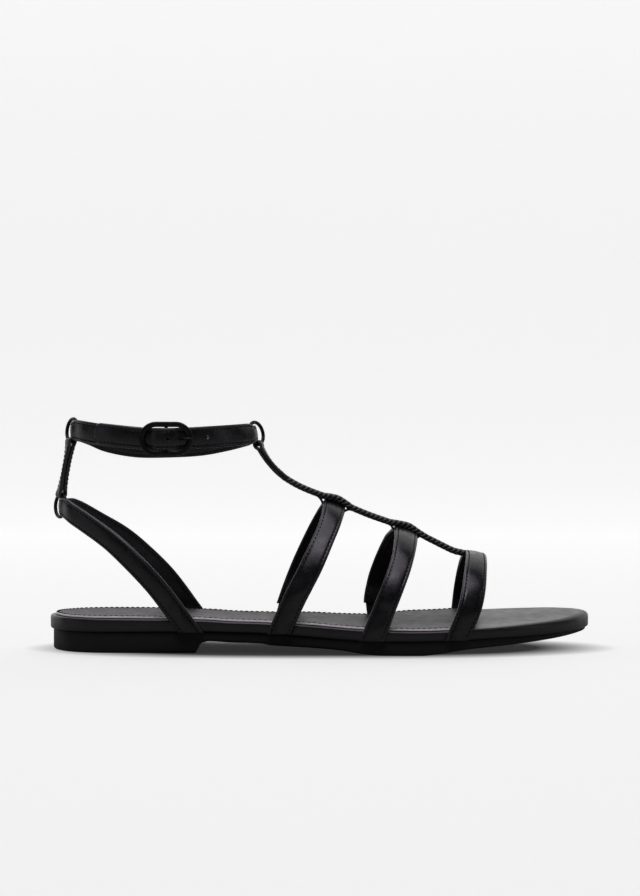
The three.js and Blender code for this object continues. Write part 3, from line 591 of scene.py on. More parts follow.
def strap_section(half, h, crown, groove):
    """Cross-section (u, v, mark) of a lined strap, half its width and thickness given: crowned outer face,
    stitch grooves on both faces, round edges. mark is 1 on the edges, where the leather's colour pales as
    a painted highlight."""
    r = edge_radius(h)
    flat = half - r
    row = half - STITCH_FROM_EDGE
    top = h - crown
    middle, rise = (top - h) / 2, (top + h) / 2
    points = []

    def edge(side):
        for degrees in side * np.linspace(-EDGE_SWEEP, EDGE_SWEEP, EDGE_SAMPLES):
            a = math.radians(degrees)
            reach = flat + (r - LINING_LINE * bell(degrees, -8, 9)) * math.cos(a)
            points.append((side * reach, middle + rise * math.sin(a), 1.0))

    for u in np.linspace(-flat, flat, INNER_SAMPLES):
        points.append((u, -h + 0.6 * groove * bell(abs(u), row, 0.3), 0.0))
    edge(1)
    for u in np.linspace(flat, -flat, OUTER_SAMPLES):
        v = top + crowned(u, flat, crown) + BEAD * bell(abs(u), half - 0.75, 0.4)
        mark = float(smooth(abs(u), half - 1.3, half - 0.6))
        points.append((u, v - groove * bell(abs(u), row, 0.32), mark))
    edge(-1)
    return np.array(points)


def ripple(s, u, seed, size):
    """Slow unevenness of a leather face, s along and u across."""
    k = 2 * math.pi / 14.0
    return size * (
        np.sin(k * s + seed) * np.cos(0.45 * u + 2 * seed)
        + 0.6 * np.sin(1.7 * k * s + 3.1 * seed + 0.35 * u)
        + 0.35 * np.sin(3.9 * k * s - 0.6 * u + 5.3 * seed)
    )


def strap_body(mesh, strip, crown=0.4, groove=0.22, seed=1.0, creases=(), wave=STRAP_WAVE):
    """Lofts a strap. creases are (distance, depth, length, slant) troughs across the outer face, each
    with a low ridge beside it."""
    rings, marks = [], []
    for c, w, n, s, width, thick in zip(strip.c, strip.w, strip.n, strip.s, strip.width, strip.thick):
        section = strap_section(width / 2, thick / 2, crown, groove)
        u, v = section[:, 0], section[:, 1]
        face = smooth(v, 0, thick / 2)
        v += face * ripple(s, u, seed, wave)
        for where, depth, length, slant in creases:
            v -= face * depth * bell(s - where, slant * u, length)
            v += face * 0.45 * depth * bell(s - where, slant * u + 1.7 * length, length)
        rings.append(set_across(section, c, w, n))
        marks.append(section[:, 2])
    mesh.add(*loft(rings), np.concatenate(marks))


def stitch_shape(length, radius):
    """One stitch: a short round-ended thread along x that dips into the leather at both ends."""
    stations = [(-0.5, 0.25), (-0.36, 0.85), (0.0, 1.0), (0.36, 0.85), (0.5, 0.25)]
    angle = np.linspace(0, 2 * math.pi, 6, endpoint=False)
    rings = []
    for t, share in stations:
        r, dip = radius * share, 1.4 * radius * t**2
        rings.append([(t * length, r * math.cos(a), 0.8 * r * math.sin(a) - dip) for a in angle])
    return loft(rings)


STITCH = stitch_shape(1.3, 0.27)
SOCK_STITCH = stitch_shape(1.7, 0.42)


def put_stitches(mesh, places, along, across, up, shape=STITCH):
    verts, faces = shape
    for p, x, y, z in zip(places, along, across, up):
        mesh.add(p + verts @ np.stack([x, y, z]), faces)


def strap_stitches(mesh, strip, crown=0.4, start=3.0, end=3.0):
    """Stitch rows near both edges, on the outer face and on the lining."""
    c, t, w, n, width, thick = strip.at(np.arange(start, strip.length - end, STITCH_PITCH))
    across = np.cross(n, t)
    for side in (-1, 1):
        u = side * (width / 2 - STITCH_FROM_EDGE)
        flat = width / 2 - edge_radius(thick / 2)
        outer = thick / 2 - crown + crowned(u, flat, crown) - STITCH_SINK / 2
        inner = 0.02 - thick / 2
        base = c + u[:, None] * w
        put_stitches(mesh, base + outer[:, None] * n, t, across, n)
        put_stitches(mesh, base + inner[:, None] * n, t, -across, -n)


last_wide = column(LAST, 3)
last_width = {-1: column(LAST, 1), 1: column(LAST, 2)}


def strap_x(strap, side, edge, z):
    """Station of a foot strap's rear or front edge at height z, on one side of the foot."""
    rear, front, medial = (column(strap["rows"], k) for k in (1, 2, 3))
    crest_x, crest_z = strap["crest"][0:2] if edge == "rear" else strap["crest"][2:4]
    lateral = rear(z) if edge == "rear" else front(z)
    x = lateral if side < 0 else medial(z) + (lateral - rear(z))
    top = strap["rows"][-1][0]
    return x + (crest_x - x) * np.clip((z - top) / (crest_z - top), 0, 1)


def strap_edge(strap, side, edge, legs, arcs, base_z):
    """Points of one outer edge on one side of the foot: up the leg to the foot's widest height, then
    over to the crest."""
    crest_z = strap["crest"][1] if edge == "rear" else strap["crest"][3]
    wide = float(last_wide(strap_x(strap, side, edge, FOOT_WIDE)))
    z = base_z + (wide - base_z) * legs
    x = strap_x(strap, side, edge, z)
    base = band_y(x, side) + side * (CLEARANCE + STRAP_THICKNESS)
    free = smooth(z, rim_at(x) - 1, wide)
    leg = np.column_stack([x, base + (side * last_width[side](x) - base) * free, z])
    power = 2 / strap["roundness"]
    z = wide + (crest_z - wide) * np.sin(arcs) ** power
    x = strap_x(strap, side, edge, z)
    y = side * last_width[side](x) * np.maximum(np.cos(arcs), 0) ** power
    return np.vstack([leg, np.column_stack([x, y, z])])


def foot_strap(strap, gore_top):
    """A strap from the lateral seam over the foot to the medial seam, or to the top of its gore."""
    base = strap["rows"][0][0] + CLEARANCE
    legs, arcs = np.linspace(0, 1, 26, endpoint=False), np.linspace(0, math.pi / 2, 44)
    edges = []
    for edge in ("rear", "front"):
        lateral = strap_edge(strap, -1, edge, legs, arcs, base)
        medial = strap_edge(strap, 1, edge, legs, arcs[:-1], gore_top or base)
        edges.append(np.vstack([lateral, medial[::-1]]))
    return soften(strip_between(*edges, STRAP_THICKNESS))


# ---- materials


class Nodes:
    """Short names for building one node material. Any value may be a number, a colour or a socket."""

    def __init__(self, name):
        self.material = bpy.data.materials.new(name)
        self.material.use_nodes = True
        self.tree = self.material.node_tree
        self.tree.nodes.clear()
        out = self.new("OutputMaterial")
        self.shader = self.new("BsdfPrincipled")
        self.link(self.shader.outputs[0], out.inputs[0])
        self.where = self.new("TexCoord").outputs["Object"]

    def new(self, kind):
        return self.tree.nodes.new("ShaderNode" + kind)

    def link(self, a, b):
        self.tree.links.new(a, b)

    def put(self, node, *first, **named):
        """Sets or links a node's inputs: the first ones in order, others by name with _ for a space."""
        inputs = list(zip(node.inputs, first))
        inputs += [(node.inputs[name.replace("_", " ")], value) for name, value in named.items()]
        for socket, value in inputs:
            if isinstance(value, bpy.types.NodeSocket):
                self.link(value, socket)
            else:
                socket.default_value = value
        return node

    def noise(self, scale, detail=3.0, rough=0.55, stretch=None):
        vector = self.where
        if stretch:
            mapping = self.put(self.new("Mapping"), Scale=stretch, Vector=vector)
            vector = mapping.outputs[0]
        node = self.put(self.new("TexNoise"), Vector=vector, Scale=scale, Detail=detail, Roughness=rough)
        return node.outputs["Fac"]

    def cells(self, scale):
        return self.put(self.new("TexVoronoi"), Vector=self.where, Scale=scale).outputs["Distance"]

    def remap(self, value, low, high, to_low=0, to_high=1):
        return self.put(self.new("MapRange"), value, low, high, to_low, to_high).outputs[0]

    def spread(self, scale, detail, low, high, to_low=0, to_high=1):
        """Noise whose values from low to high are stretched over to_low to to_high."""
        return self.remap(self.noise(scale, detail), low, high, to_low, to_high)

    def math(self, operation, a, b=0.0):
        node = self.new("Math")
        node.operation = operation
        return self.put(node, a, b).outputs[0]

    def mix(self, factor, a, b):
        node = self.new("Mix")
        node.data_type = "RGBA"
        return self.put(node, Factor=factor, A=a, B=b).outputs["Result"]

    def mark(self):
        node = self.new("Attribute")
        node.attribute_name = "mark"
        return node.outputs["Fac"]

    def bump(self, height, strength, distance, **under):
        node = self.put(self.new("Bump"), Strength=strength, Distance=distance, Height=height, **under)
        return node.outputs["Normal"]

    def finish(self, colour, roughness, specular, metallic=0.0, **normal):
        self.put(self.shader, Base_Color=colour, Roughness=roughness, **normal)
        self.put(self.shader, Specular_IOR_Level=specular, Metallic=metallic)
        return self.material


def grey(value, tint=(1.0, 1.0, 1.0)):
    return tuple(value * t for t in tint) + (1.0,)


# The leather's black is slightly purple, worn metal and the sock's cut edge are slightly warm.
PLUM = (1.0, 0.88, 1.12)
WARM = (1.0, 0.97, 0.93)
CUT_EDGE = (1.0, 0.95, 0.93)


def leather(name, dark, light, edge, rough, grain=0.35):
    """Lacquered leather: patches between dark and light, paler at marked edges as a painted highlight where
    the rounded edges would catch the light, rubbed smooth in places, with fine pores over a soft
    unevenness."""
    m = Nodes(name)
    colour = m.mix(m.spread(90, 4, 0.35, 0.65), grey(dark, PLUM), grey(light, PLUM))
    pores = m.remap(m.cells(1500), 0.0, 0.55)
    # painted highlight: the marked edges are mixed towards the paler edge colour
    colour = m.mix(m.math("MULTIPLY", m.mark(), 0.7), colour, grey(edge, PLUM))
    rubbed = m.spread(260, 3, 0.4, 0.7, rough - 0.04, rough + 0.09)
    roughness = m.math("SUBTRACT", rubbed, m.math("MULTIPLY", m.mark(), 0.04))
    soft = m.bump(m.noise(300, 3, 0.5), 0.05, 0.0003)
    return m.finish(colour, roughness, 0.4, Normal=m.bump(pores, grain, 0.00006, Normal=soft))


def bed_leather():
    """The footbed's matt leather, broadly uneven."""
    m = Nodes("bed_leather")
    colour = m.mix(m.spread(60, 5, 0.35, 0.65), grey(0.004, PLUM), grey(0.007, PLUM))
    roughness = m.spread(180, 4, 0.35, 0.7, 0.28, 0.38)
    soft = m.bump(m.noise(300, 3), 0.18, 0.0004)
    return m.finish(colour, roughness, 0.5, Normal=m.bump(m.cells(1300), 0.22, 0.0001, Normal=soft))


def sock_leather():
    """The sock's leather, with its pale cut edge where it is marked."""
    m = Nodes("sock_leather")
    colour = m.mix(m.spread(70, 5, 0.35, 0.65), grey(0.005, PLUM), grey(0.009, PLUM))
    colour = m.mix(m.mark(), colour, grey(0.85, CUT_EDGE))
    roughness = m.spread(220, 4, 0.35, 0.7, 0.42, 0.55)
    return m.finish(colour, roughness, 0.5, Normal=m.bump(m.cells(1200), 0.25, 0.0001))


def sole_rubber():
    """Matt rubber, a little dusty."""
    m = Nodes("sole_rubber")
    colour = m.mix(m.spread(40, 5, 0.3, 0.7), grey(0.0045), grey(0.0075))
    colour = m.mix(m.spread(500, 3, 0.62, 0.78, 0, 0.5), colour, grey(0.012))
    roughness = m.spread(150, 3, 0.35, 0.7, 0.55, 0.7)
    return m.finish(colour, roughness, 0.35, Normal=m.bump(m.noise(1900, 3), 0.2, 0.00012))


def elastic_web():
    """Woven elastic, whose threads run across its ribs."""
    m = Nodes("elastic_web")
    weave = m.noise(700, 2, stretch=(1, 1, 5))
    m.put(m.shader, Sheen_Weight=0.15, Sheen_Roughness=0.4)
    normal = m.bump(m.noise(2600, 2), 0.4, 0.00015)
    return m.finish(m.mix(weave, grey(0.004), grey(0.010)), 0.8, 0.3, Normal=normal)


def sewing_thread(name, value):
    m = Nodes(name)
    colour = m.mix(m.noise(1500, 2), grey(value * 0.8, PLUM), grey(value * 1.3, PLUM))
    return m.finish(colour, 0.8, 0.15, Normal=m.bump(m.noise(5000, 2), 0.3, 0.0001))


def black_metal():
    """Black lacquer over metal, worn a little thinner in patches."""
    m = Nodes("black_metal")
    colour = m.mix(m.spread(240, 4, 0.45, 0.75), grey(0.006), grey(0.014, WARM))
    roughness = m.spread(600, 3, 0.35, 0.7, 0.28, 0.42)
    return m.finish(colour, roughness, 0.25, 0.5, Normal=m.bump(m.noise(1400, 3), 0.08, 0.0001))


# edge is the paler colour of the marked edges, a painted highlight
STRAP_LEATHER = leather("strap_leather", dark=0.003, light=0.006, edge=0.022, rough=0.28)
PLAIT_LEATHER = leather("plait_leather", dark=0.005, light=0.010, edge=0.012, rough=0.36, grain=0.25)
BED_LEATHER = bed_leather()
SOCK_LEATHER = sock_leather()
SOLE_RUBBER = sole_rubber()
ELASTIC = elastic_web()
STRAP_THREAD = sewing_thread("strap_thread", 0.006)
SOCK_THREAD = sewing_thread("sock_thread", 0.001)
METAL = black_metal()


# ---- sole, footbed


# the tread: its stations under heel and forefoot, and the width of the plain rim round it
TREAD_SPANS = [(9, 61), (108, 237)]
TREAD_RIM = 5.5
TREAD_DEPTH = 0.7
TREAD_PITCH = 5.0
TREAD_WAVE = 1.6


def underside(x):
    """Height of the plain underside: flat under the heel block, its breast, then the sole."""
    x = np.asarray(x, float)
    base = np.where(x < BREAST[-1][0], breast_at(x), under_at(x))
    return np.where(x < BREAST[0][0], 0.0, base)


def grooved(x, y):
    """The underside with its tread: waved bars across the forefoot and the heel, inside a plain rim."""
    x, y = np.asarray(x, float), np.asarray(y, float)
    edge = np.minimum(y - band_y(x, -1), band_y(x, 1) - y)
    inside = smooth(edge, TREAD_RIM, TREAD_RIM + 0.8)
    heel, fore = (smooth(x, a, a + 1) * (1 - smooth(x, b - 1, b)) for a, b in TREAD_SPANS)
    phase = (x + TREAD_WAVE * np.sin(y / 3.4)) / TREAD_PITCH
    bar = smooth(np.abs((phase % 1) - 0.5), 0.26, 0.33)
    return underside(x) + TREAD_DEPTH * bar * inside * np.maximum(heel, fore)


def make_outsole():
    over = WRAP_OVERHANG
    above = lambda lift: (lambda x, y: underside(x) + lift)
    below = lambda drop: (lambda x, y: seam_at(x) - drop)
    rounded = [(1.0, 0.0), (0.62, 0.08), (0.3, 0.3), (0.08, 0.62), (0.0, 1.0)]
    levels = [(over + inset, above(lift)) for inset, lift in rounded]
    levels += [
        (over, lambda x, y: (underside(x) + seam_at(x)) / 2), (over, below(0.5)), (over + 0.1, below(0.15)),
        (over + 0.3, below(0.0)),
    ]
    sole = Mesh()
    xs = sole_stations(0.6, [p[0] for p in BREAST] + [98.5, 99.2, 102.4, 103.2])
    plate(sole, xs, levels, 60, under=grooved)
    sole.object("outsole_body", SOLE_RUBBER, ["outsole"], "sole_rubber", sharp=38)


def bed_top(lift):
    """Height function of a surface above the footbed's top."""
    return lambda x, y: rim_at(x) - cup(x, y) + lift


def make_footbed():
    """The wrapped board: tucked in at the seam, then a rim whose rounding is larger at the toe."""
    tuck = [(1.5, 0.05), (0.55, 0.1), (0.2, 0.35), (0.03, 0.85)]
    above = lambda lift: (lambda x, y: seam_at(x) + lift)
    # inset, drop below the rim, drop at the toe
    rim = [
        (0.0, 1.2, 2.6), (0.05, 0.75, 2.1), (0.2, 0.4, 1.6), (0.45, 0.16, 1.15), (0.85, 0.04, 0.75),
        (1.4, 0.0, 0.42), (2.1, 0.0, 0.18),
    ]
    toe = lambda x: smooth(x, 188, 222)
    rounded = lambda drop, at_toe: (lambda x, y: bed_top(-drop)(x, y) - (at_toe - drop) * toe(x))
    levels = [(inset, above(lift)) for inset, lift in tuck]
    levels.append((0.0, lambda x, y: seam_at(x) * 0.6 + rim_at(x) * 0.4))
    levels += [(inset, rounded(drop, at_toe)) for inset, drop, at_toe in rim]
    levels.append((3.0, bed_top(0)))
    bed = Mesh()
    plate(bed, sole_stations(1.2), levels, 40)
    bed.object("footbed_body", BED_LEATHER, ["footbed"], "bed_leather", sharp=40)


def make_sock():
    # inset past SOCK_INSET, height over the footbed, mark: the pale cut edge, then the stitch line's groove
    section = [
        (0.9, 0.02, 0), (0.6, 0.25, 0.1), (0.0, 0.35, 1.0), (0.0, 0.95, 1.0), (0.1, 1.12, 0.6),
        (0.35, 1.18, 0), (0.6, 1.05, 0), (0.9, 0.9, 0), (1.3, 1.05, 0), (2.0, SOCK_THICKNESS, 0),
    ]
    levels = [(SOCK_INSET + inset, bed_top(lift)) for inset, lift, _ in section]
    sock = Mesh()
    xs = sole_stations(1.2)
    xs = np.concatenate([xs[xs < SOCK_FRONT], [SOCK_FRONT]])
    loop, inward = plate(sock, xs, levels, 40, front_open=True, mark=[mark for _, _, mark in section])
    sock.object("sock", SOCK_LEATHER, ["insole"], "bed_leather", sharp=50)

    line = loop + inward * (SOCK_INSET + SOCK_LINE)
    # from the medial front corner round the heel to the lateral front corner
    order = np.arange(len(line) - len(xs) + 2, len(line) + len(xs) - 2) % len(line)
    path = np.column_stack([line[order], bed_top(SOCK_LINE_HEIGHT)(*line[order].T)])
    length = run_of(path)[-1]
    dense = even(path, int(length / 0.25))
    where = np.linspace(0, length, len(dense))
    at = np.arange(0.5, length - 0.5, SOCK_STITCH_PITCH)
    along = unit(sample(at, where, tangents(dense)))
    across = unit(np.cross(np.broadcast_to(UP, along.shape), along))
    thread = Mesh()
    put_stitches(thread, sample(at, where, dense), along, across, np.cross(along, across), SOCK_STITCH)
    thread.object("sock_stitches", SOCK_THREAD, slot="bed_leather")


make_outsole()
make_footbed()
make_sock()


# ---- heel, ankle straps


# the heel strap's legs start below the seam and are cut level just above it
SEAM_END = (69.9, 30.3, 5.6)
SEAM_CUT = 9.55
CREASE_SLANT = 0.12
# thickness of the heel strap in its ring, and of the ankle strap's start at the buckle's bar
THIN_THREADED = 1.7
THIN_START = 0.9
# the ankle strap's tip: over this length it narrows by this share of its width
TIP_LENGTH = 3.2
TIP_NARROWING = 0.42


def threaded_width(points, full, rings):
    """A strap's full width, less where it runs through a ring."""
    near = np.min([np.linalg.norm(points - r["c"], axis=1) for r in rings], axis=0)
    return THREADED_WIDTH + (full - THREADED_WIDTH) * smooth(near, 3.5, 9.0)


def keep_above(height):
    """An edit that cuts a mesh level at a height and closes it there, keeping what is above."""

    def change(work):
        found = work.verts[:] + work.edges[:] + work.faces[:]
        cut = bmesh.ops.bisect_plane(
            work, geom=found, plane_co=(0, 0, height * MM), plane_no=(0, 0, -1), clear_outer=True
        )
        edges = [e for e in cut["geom_cut"] if isinstance(e, bmesh.types.BMEdge)]
        bmesh.ops.holes_fill(work, edges=edges, sides=0)

    return change


def make_heel_strap():
    leg = [SEAM_END] + HEEL_LEG
    path = catmull([(x, -y, z) for x, y, z in leg] + HEEL_BEND + leg[::-1], 430)
    near = np.linalg.norm(path - RING_HEEL["c"], axis=1)
    thick = THIN_THREADED + (STRAP_THICKNESS - THIN_THREADED) * smooth(near, 5, 14)
    width = threaded_width(path, HEEL_STRAP_WIDTH, [RING_HEEL])
    strip = soften(strip_along(path, UP, away_from(path, 60), width, thick), 3)
    middle = strip.length / 2
    creases = [(middle - 19, 0.08, 1.6, CREASE_SLANT), (middle + 16, 0.1, 1.4, -CREASE_SLANT)]
    body, thread = Mesh(), Mesh()
    strap_body(body, strip, seed=2.3, creases=creases)
    made = body.object("heel_strap_leather", STRAP_LEATHER, ["heel_strap"])
    rework(made.data, keep_above(SEAM_CUT))
    strap_stitches(thread, strip, start=7.5, end=7.5)
    thread.object("heel_strap_stitches", STRAP_THREAD)


def make_ankle_strap():
    """The whole strap, thin where it starts at the buckle's bar and with a blunt round tip."""
    crown = 0.35
    path = catmull(ANKLE_STRAP, 620)
    count = np.arange(len(path))
    wanted = blend(UP, RING_ANKLE_FRONT["b"], smooth(path[:, 0], 70, 95)[:, None])
    width = threaded_width(path, ANKLE_STRAP_WIDTH, [RING_ANKLE_BACK, RING_ANKLE_FRONT])
    from_tip = np.clip(np.linalg.norm(path - path[-1], axis=1) / TIP_LENGTH, 0, 1)
    from_tip = np.where(count > len(path) * 0.8, from_tip, 1.0)
    blunt = 1 - TIP_NARROWING * (1 - np.sqrt(1 - (1 - from_tip) ** 2))
    near_bar = smooth(np.linalg.norm(path - path[0], axis=1), 0.5, 4.0)
    start = THIN_START + (ANKLE_THICKNESS - THIN_START) * near_bar
    thick = np.where(count < 40, start, ANKLE_THICKNESS)
    strip = soften(strip_along(path, wanted, away_from(path, 52), width * blunt, thick), 3)

    # the part that comes back through the buckle
    tail = int(len(path) * 0.72)
    nearest = lambda x: tail + int(np.argmin(np.abs(strip.c[tail:, 0] - x)))
    creases = [(strip.s[nearest(67)], 0.06, 1.4, -0.1), (strip.s[nearest(43)], 0.08, 1.6, 0.08)]
    body, thread = Mesh(), Mesh()
    strap_body(body, strip, crown=crown, seed=4.1, creases=creases)
    made = body.object("ankle_strap_leather", STRAP_LEATHER, ["ankle_strap"])
    for k in map(nearest, PUNCHES):
        punch(made, strip.c[k], strip.n[k])
    strap_stitches(thread, strip, crown=crown, start=4.0, end=2.6)
    thread.object("ankle_strap_stitches", STRAP_THREAD)


def make_bar_fold():
    """The thin end of the ankle strap, folded round the buckle's bar."""
    bar = np.array([BUCKLE["x"], BAR_Y, BUCKLE["z"]])
    reach = BAR_RADIUS + BAR_FOLD / 2 + 0.1
    turn = np.radians(np.linspace(-100, 100, 26))
    bend = [(reach * math.cos(a), reach * math.sin(a), 0) for a in turn]
    path = even(bar + np.array([(-3.0, -0.9 * reach, 0)] + bend + [(-3.2, 0.9 * reach, 0)]), 60)
    fold = Mesh()
    strap_body(fold, strip_along(path, UP, path - bar, 9.0, BAR_FOLD), crown=0.05, groove=0.0, wave=0.0)
    fold.object("ankle_strap_bar_fold", STRAP_LEATHER, ["ankle_strap"])


def punch(made, centre, normal):
    """Cuts a round hole through a strap."""
    verts, faces = tube(centre + np.outer([-3, 3], unit(normal)), PUNCH_RADIUS, sides=20)
    tool = new_mesh("punch", verts, faces)
    rework(tool, lambda work: None)
    cutter = new_object("punch", tool)
    hole = made.modifiers.new("hole", "BOOLEAN")
    hole.operation, hole.object, hole.solver = "DIFFERENCE", cutter, "EXACT"
    bpy.context.view_layer.update()
    cut = bpy.data.meshes.new_from_object(made.evaluated_get(bpy.context.evaluated_depsgraph_get()))
    made.modifiers.clear()
    old, made.data = made.data, cut
    bpy.data.meshes.remove(old)
    bpy.data.objects.remove(cutter)
    bpy.data.meshes.remove(tool)


# ---- foot straps


def make_upper():
    body, thread = Mesh(), Mesh()
    crown = 0.45
    for strap, gore_top, seed in (
        (REAR_STRAP, REAR_GORE_TOP, 0.7), (MIDDLE_STRAP, MIDDLE_GORE_TOP, 1.9), (TOE_STRAP, None, 3.2),
    ):
        strip = foot_strap(strap, gore_top)
        strap_body(body, strip, crown=crown, seed=seed)
        strap_stitches(thread, strip, crown=crown, start=2.6, end=2.6)
    body.object("upper_straps", STRAP_LEATHER, ["upper"])
    thread.object("upper_stitches", STRAP_THREAD)


GORE_INSET = 0.3
GORE_RIB = 0.13
GORE_RIB_PITCH = 0.9
# the strap's own width at its medial end, of which the gore takes GORE_WIDTH
GORE_STRAP_WIDTH = 10.6


def make_gore(node, strap, top):
    """Ribbed elastic from the seam to the strap's medial end, narrower than it and pinched halfway."""
    z = np.linspace(strap["rows"][0][0] - 0.1, top + 0.8, 60)
    rear_x, front_x = strap_x(strap, 1, "rear", z), strap_x(strap, 1, "front", z)
    share = 0.5 - GORE_WIDTH / 2 / GORE_STRAP_WIDTH
    edges = []
    for x in (blend(rear_x, front_x, share), blend(front_x, rear_x, share)):
        low = band_y(x, 1) + CLEARANCE + STRAP_THICKNESS - GORE_INSET
        high = last_width[1](x) - GORE_INSET
        edges.append(np.column_stack([x, blend(low, high, smooth(z, rim_at(x) - 1, last_wide(x))), z]))
    strip = strip_between(*edges, GORE_THICKNESS)
    face = GORE_THICKNESS / 2 - 0.1
    rings = []
    for k, share in enumerate(np.linspace(0, 1, len(strip.c))):
        half = strip.width[k] / 2 * (1 - 0.06 * math.sin(math.pi * share))
        u = np.linspace(-half, half, 45)
        rib = GORE_RIB * np.cos(2 * math.pi * u / GORE_RIB_PITCH)
        outer, inner = np.column_stack([u, face + rib]), np.column_stack([u[::-1], rib - face])
        section = np.vstack([outer, [[half + 0.2, 0]], inner, [[-half - 0.2, 0]]])
        rings.append(set_across(section, strip.c[k], strip.w[k], strip.n[k]))
    web = Mesh()
    web.add(*loft(rings))
    web.object(node + "_web", ELASTIC, [node], "elastic")


# ---- plait, folded loops


# stations where the plait passes over the rear and the middle strap
CROSSINGS = [133.0, 166.0]
STRANDS = 5
PLAIT_PERIOD = 11.0
STRAND_WIDTH = 3.0
STRAND_THICKNESS = 1.7
# how far a strand's middle swings sideways, up and down, and how much more of that over a strap
SWING = 2.75
LIFT = 0.66
CROSSING_LIFT = 0.35
# the thin layer beneath a strap: width, thickness, and where it leaves the plait before the strap's edge
UNDER_WIDTH = 6.4
UNDER_THICKNESS = 1.1
UNDER_START = 3.0
# station, thickness: the plait's outer face rises by half of what this is over PLAIT_FLAT
PLAIT_FLAT = 3.0
PLAIT_HEIGHT = [
    (109, 3.2), (120.5, 3.2), (126.5, 3.3), (129.0, 4.3), (133.0, 5.5), (137.3, 4.4), (140.1, 3.3),
    (148.5, 3.2), (156.9, 3.3), (161.5, 4.9), (166.0, 5.5), (170.9, 4.2), (176.5, 3.2), (200, 3.2),
]
SPINE_END = (198.0, 0.0, 41.4)


def spine_curve(count):
    """The plait's middle line, and its upward normals."""
    curve = catmull([(x, 0.0, z) for x, z in SPINE if x > PLAIT_START - 6] + [SPINE_END], count)
    rise = (column(PLAIT_HEIGHT, 1)(curve[:, 0]) - PLAIT_FLAT) / 2
    curve = curve + rise[:, None] * plane_normals(tangents(curve))
    return curve, plane_normals(tangents(curve))


def soft_box(width, thick, count=16, power=3.0):
    """Points round a rounded flat section."""
    angle = np.linspace(0, 2 * math.pi, count, endpoint=False)
    c, s = np.cos(angle), np.sin(angle)
    r = (np.abs(c) ** power + np.abs(s) ** power) ** (-1 / power)
    return np.column_stack([width / 2 * r * c, thick / 2 * r * s])


def make_plait():
    curve, n = spine_curve(1000)
    run = run_of(curve)
    section = soft_box(STRAND_WIDTH, STRAND_THICKNESS, power=2.6)
    narrow = 0.72 + 0.28 * smooth(curve[:, 0], 107.5, 112)
    over = sum(bell(curve[:, 0], x, 4.5) for x in CROSSINGS)
    mesh = Mesh()
    for i in range(STRANDS):
        phase = 2 * math.pi * (run / PLAIT_PERIOD + i / STRANDS)
        side = SWING * np.sin(phase) * narrow
        lift = (LIFT + CROSSING_LIFT * over) * np.sin((STRANDS - 1) * phase)
        centre = curve - side[:, None] * MEDIAL + lift[:, None] * n
        along = tangents(centre)
        normal = square_to(n, along)
        across = np.cross(normal, along)
        rings, marks = [], []
        for k in range(0, len(curve), 2):
            pad = 1 + 0.05 * math.sin(run[k] * 1.9 + i * 2.1)
            own = section * [narrow[k], 1] * [pad, 1]
            rings.append(set_across(own, centre[k], across[k], normal[k]))
            # marks the strand's edges, which the plait leather pales as a painted highlight
            marks.append(smooth(np.abs(own[:, 0]), 0.75, 1.1) * 0.8)
        mesh.add(*loft(rings), np.concatenate(marks))
    for strap in (REAR_STRAP, MIDDLE_STRAP):
        under_layer(mesh, curve, n, strap["crest"])
    mesh.object("upper_plait", PLAIT_LEATHER, ["upper"])


def under_layer(mesh, curve, n, crest):
    """The thin layer that leaves the plait, passes beneath a strap's crest and joins the plait again."""
    rear, front = np.array([crest[0], 0, crest[1]]), np.array([crest[2], 0, crest[3]])
    d = unit(front - rear)
    up = np.array([-d[2], 0, d[0]])
    join = []
    for x in (rear[0] - UNDER_START, front[0] + UNDER_START):
        k = int(np.argmin(np.abs(curve[:, 0] - x)))
        join.append(curve[k] - n[k] * 0.9)
    # forwards of the strap's edge, below it
    dip = [(-1.5, 1.2), (0.4, 2.9), (2.0, 3.2)]
    down = [rear + d * along - up * below for along, below in dip]
    rise = [front - d * along - up * below for along, below in dip[::-1]]
    path = catmull([join[0]] + down + rise + [join[1]], 60)
    ribbon(mesh, path, MEDIAL, UNDER_WIDTH, UNDER_THICKNESS)


def ribbon(mesh, path, across, width, thick, closed=False):
    """A flat folded layer along a path, its width along the given direction."""
    tangent = tangents(path, closed)
    w = square_to(np.broadcast_to(across, path.shape), tangent)
    n = np.cross(tangent, w)
    width = np.broadcast_to(width, (len(path),))
    thick = np.broadcast_to(thick, (len(path),))
    rings, marks = [], []
    for k in range(len(path)):
        section = soft_box(width[k], thick[k], 22, 4.0)
        rings.append(set_across(section, path[k], w[k], n[k]))
        # marks the layer's edges, which the leather pales as a painted highlight
        marks.append(smooth(np.abs(section[:, 0]) / (width[k] / 2), 0.75, 0.95))
    mesh.add(*loft(rings, closed=closed), np.concatenate(marks))


def fold_gaps(layer, held):
    """How far the two layers of a fold lie from its middle, and how thick each is: side by side where
    held is 1, as wide apart as the bend round the wire where it is 0."""
    close = layer / 2 + FOLD_GAP
    return close + (BEND_RADIUS - close) * (1 - held), BEND_LAYER + (layer - BEND_LAYER) * held


def bend_round(centre, start, middle, count):
    """A half circle round a wire, from the direction start through middle, without its ends."""
    return [
        centre + BEND_RADIUS * (math.cos(a) * start + math.sin(a) * middle)
        for a in np.linspace(0, math.pi, count)[1:-1]
    ]


def bar_across(run):
    """The folded strip's width direction, which turns from near the ring's own to straight across."""
    return blend(-RING_ANKLE_FRONT["a"], MEDIAL, 0.5 + 0.5 * smooth(run, 0, 12)[:, None])


def bar_width(run):
    return 4.2 + 3.2 * smooth(run, 5, 19)


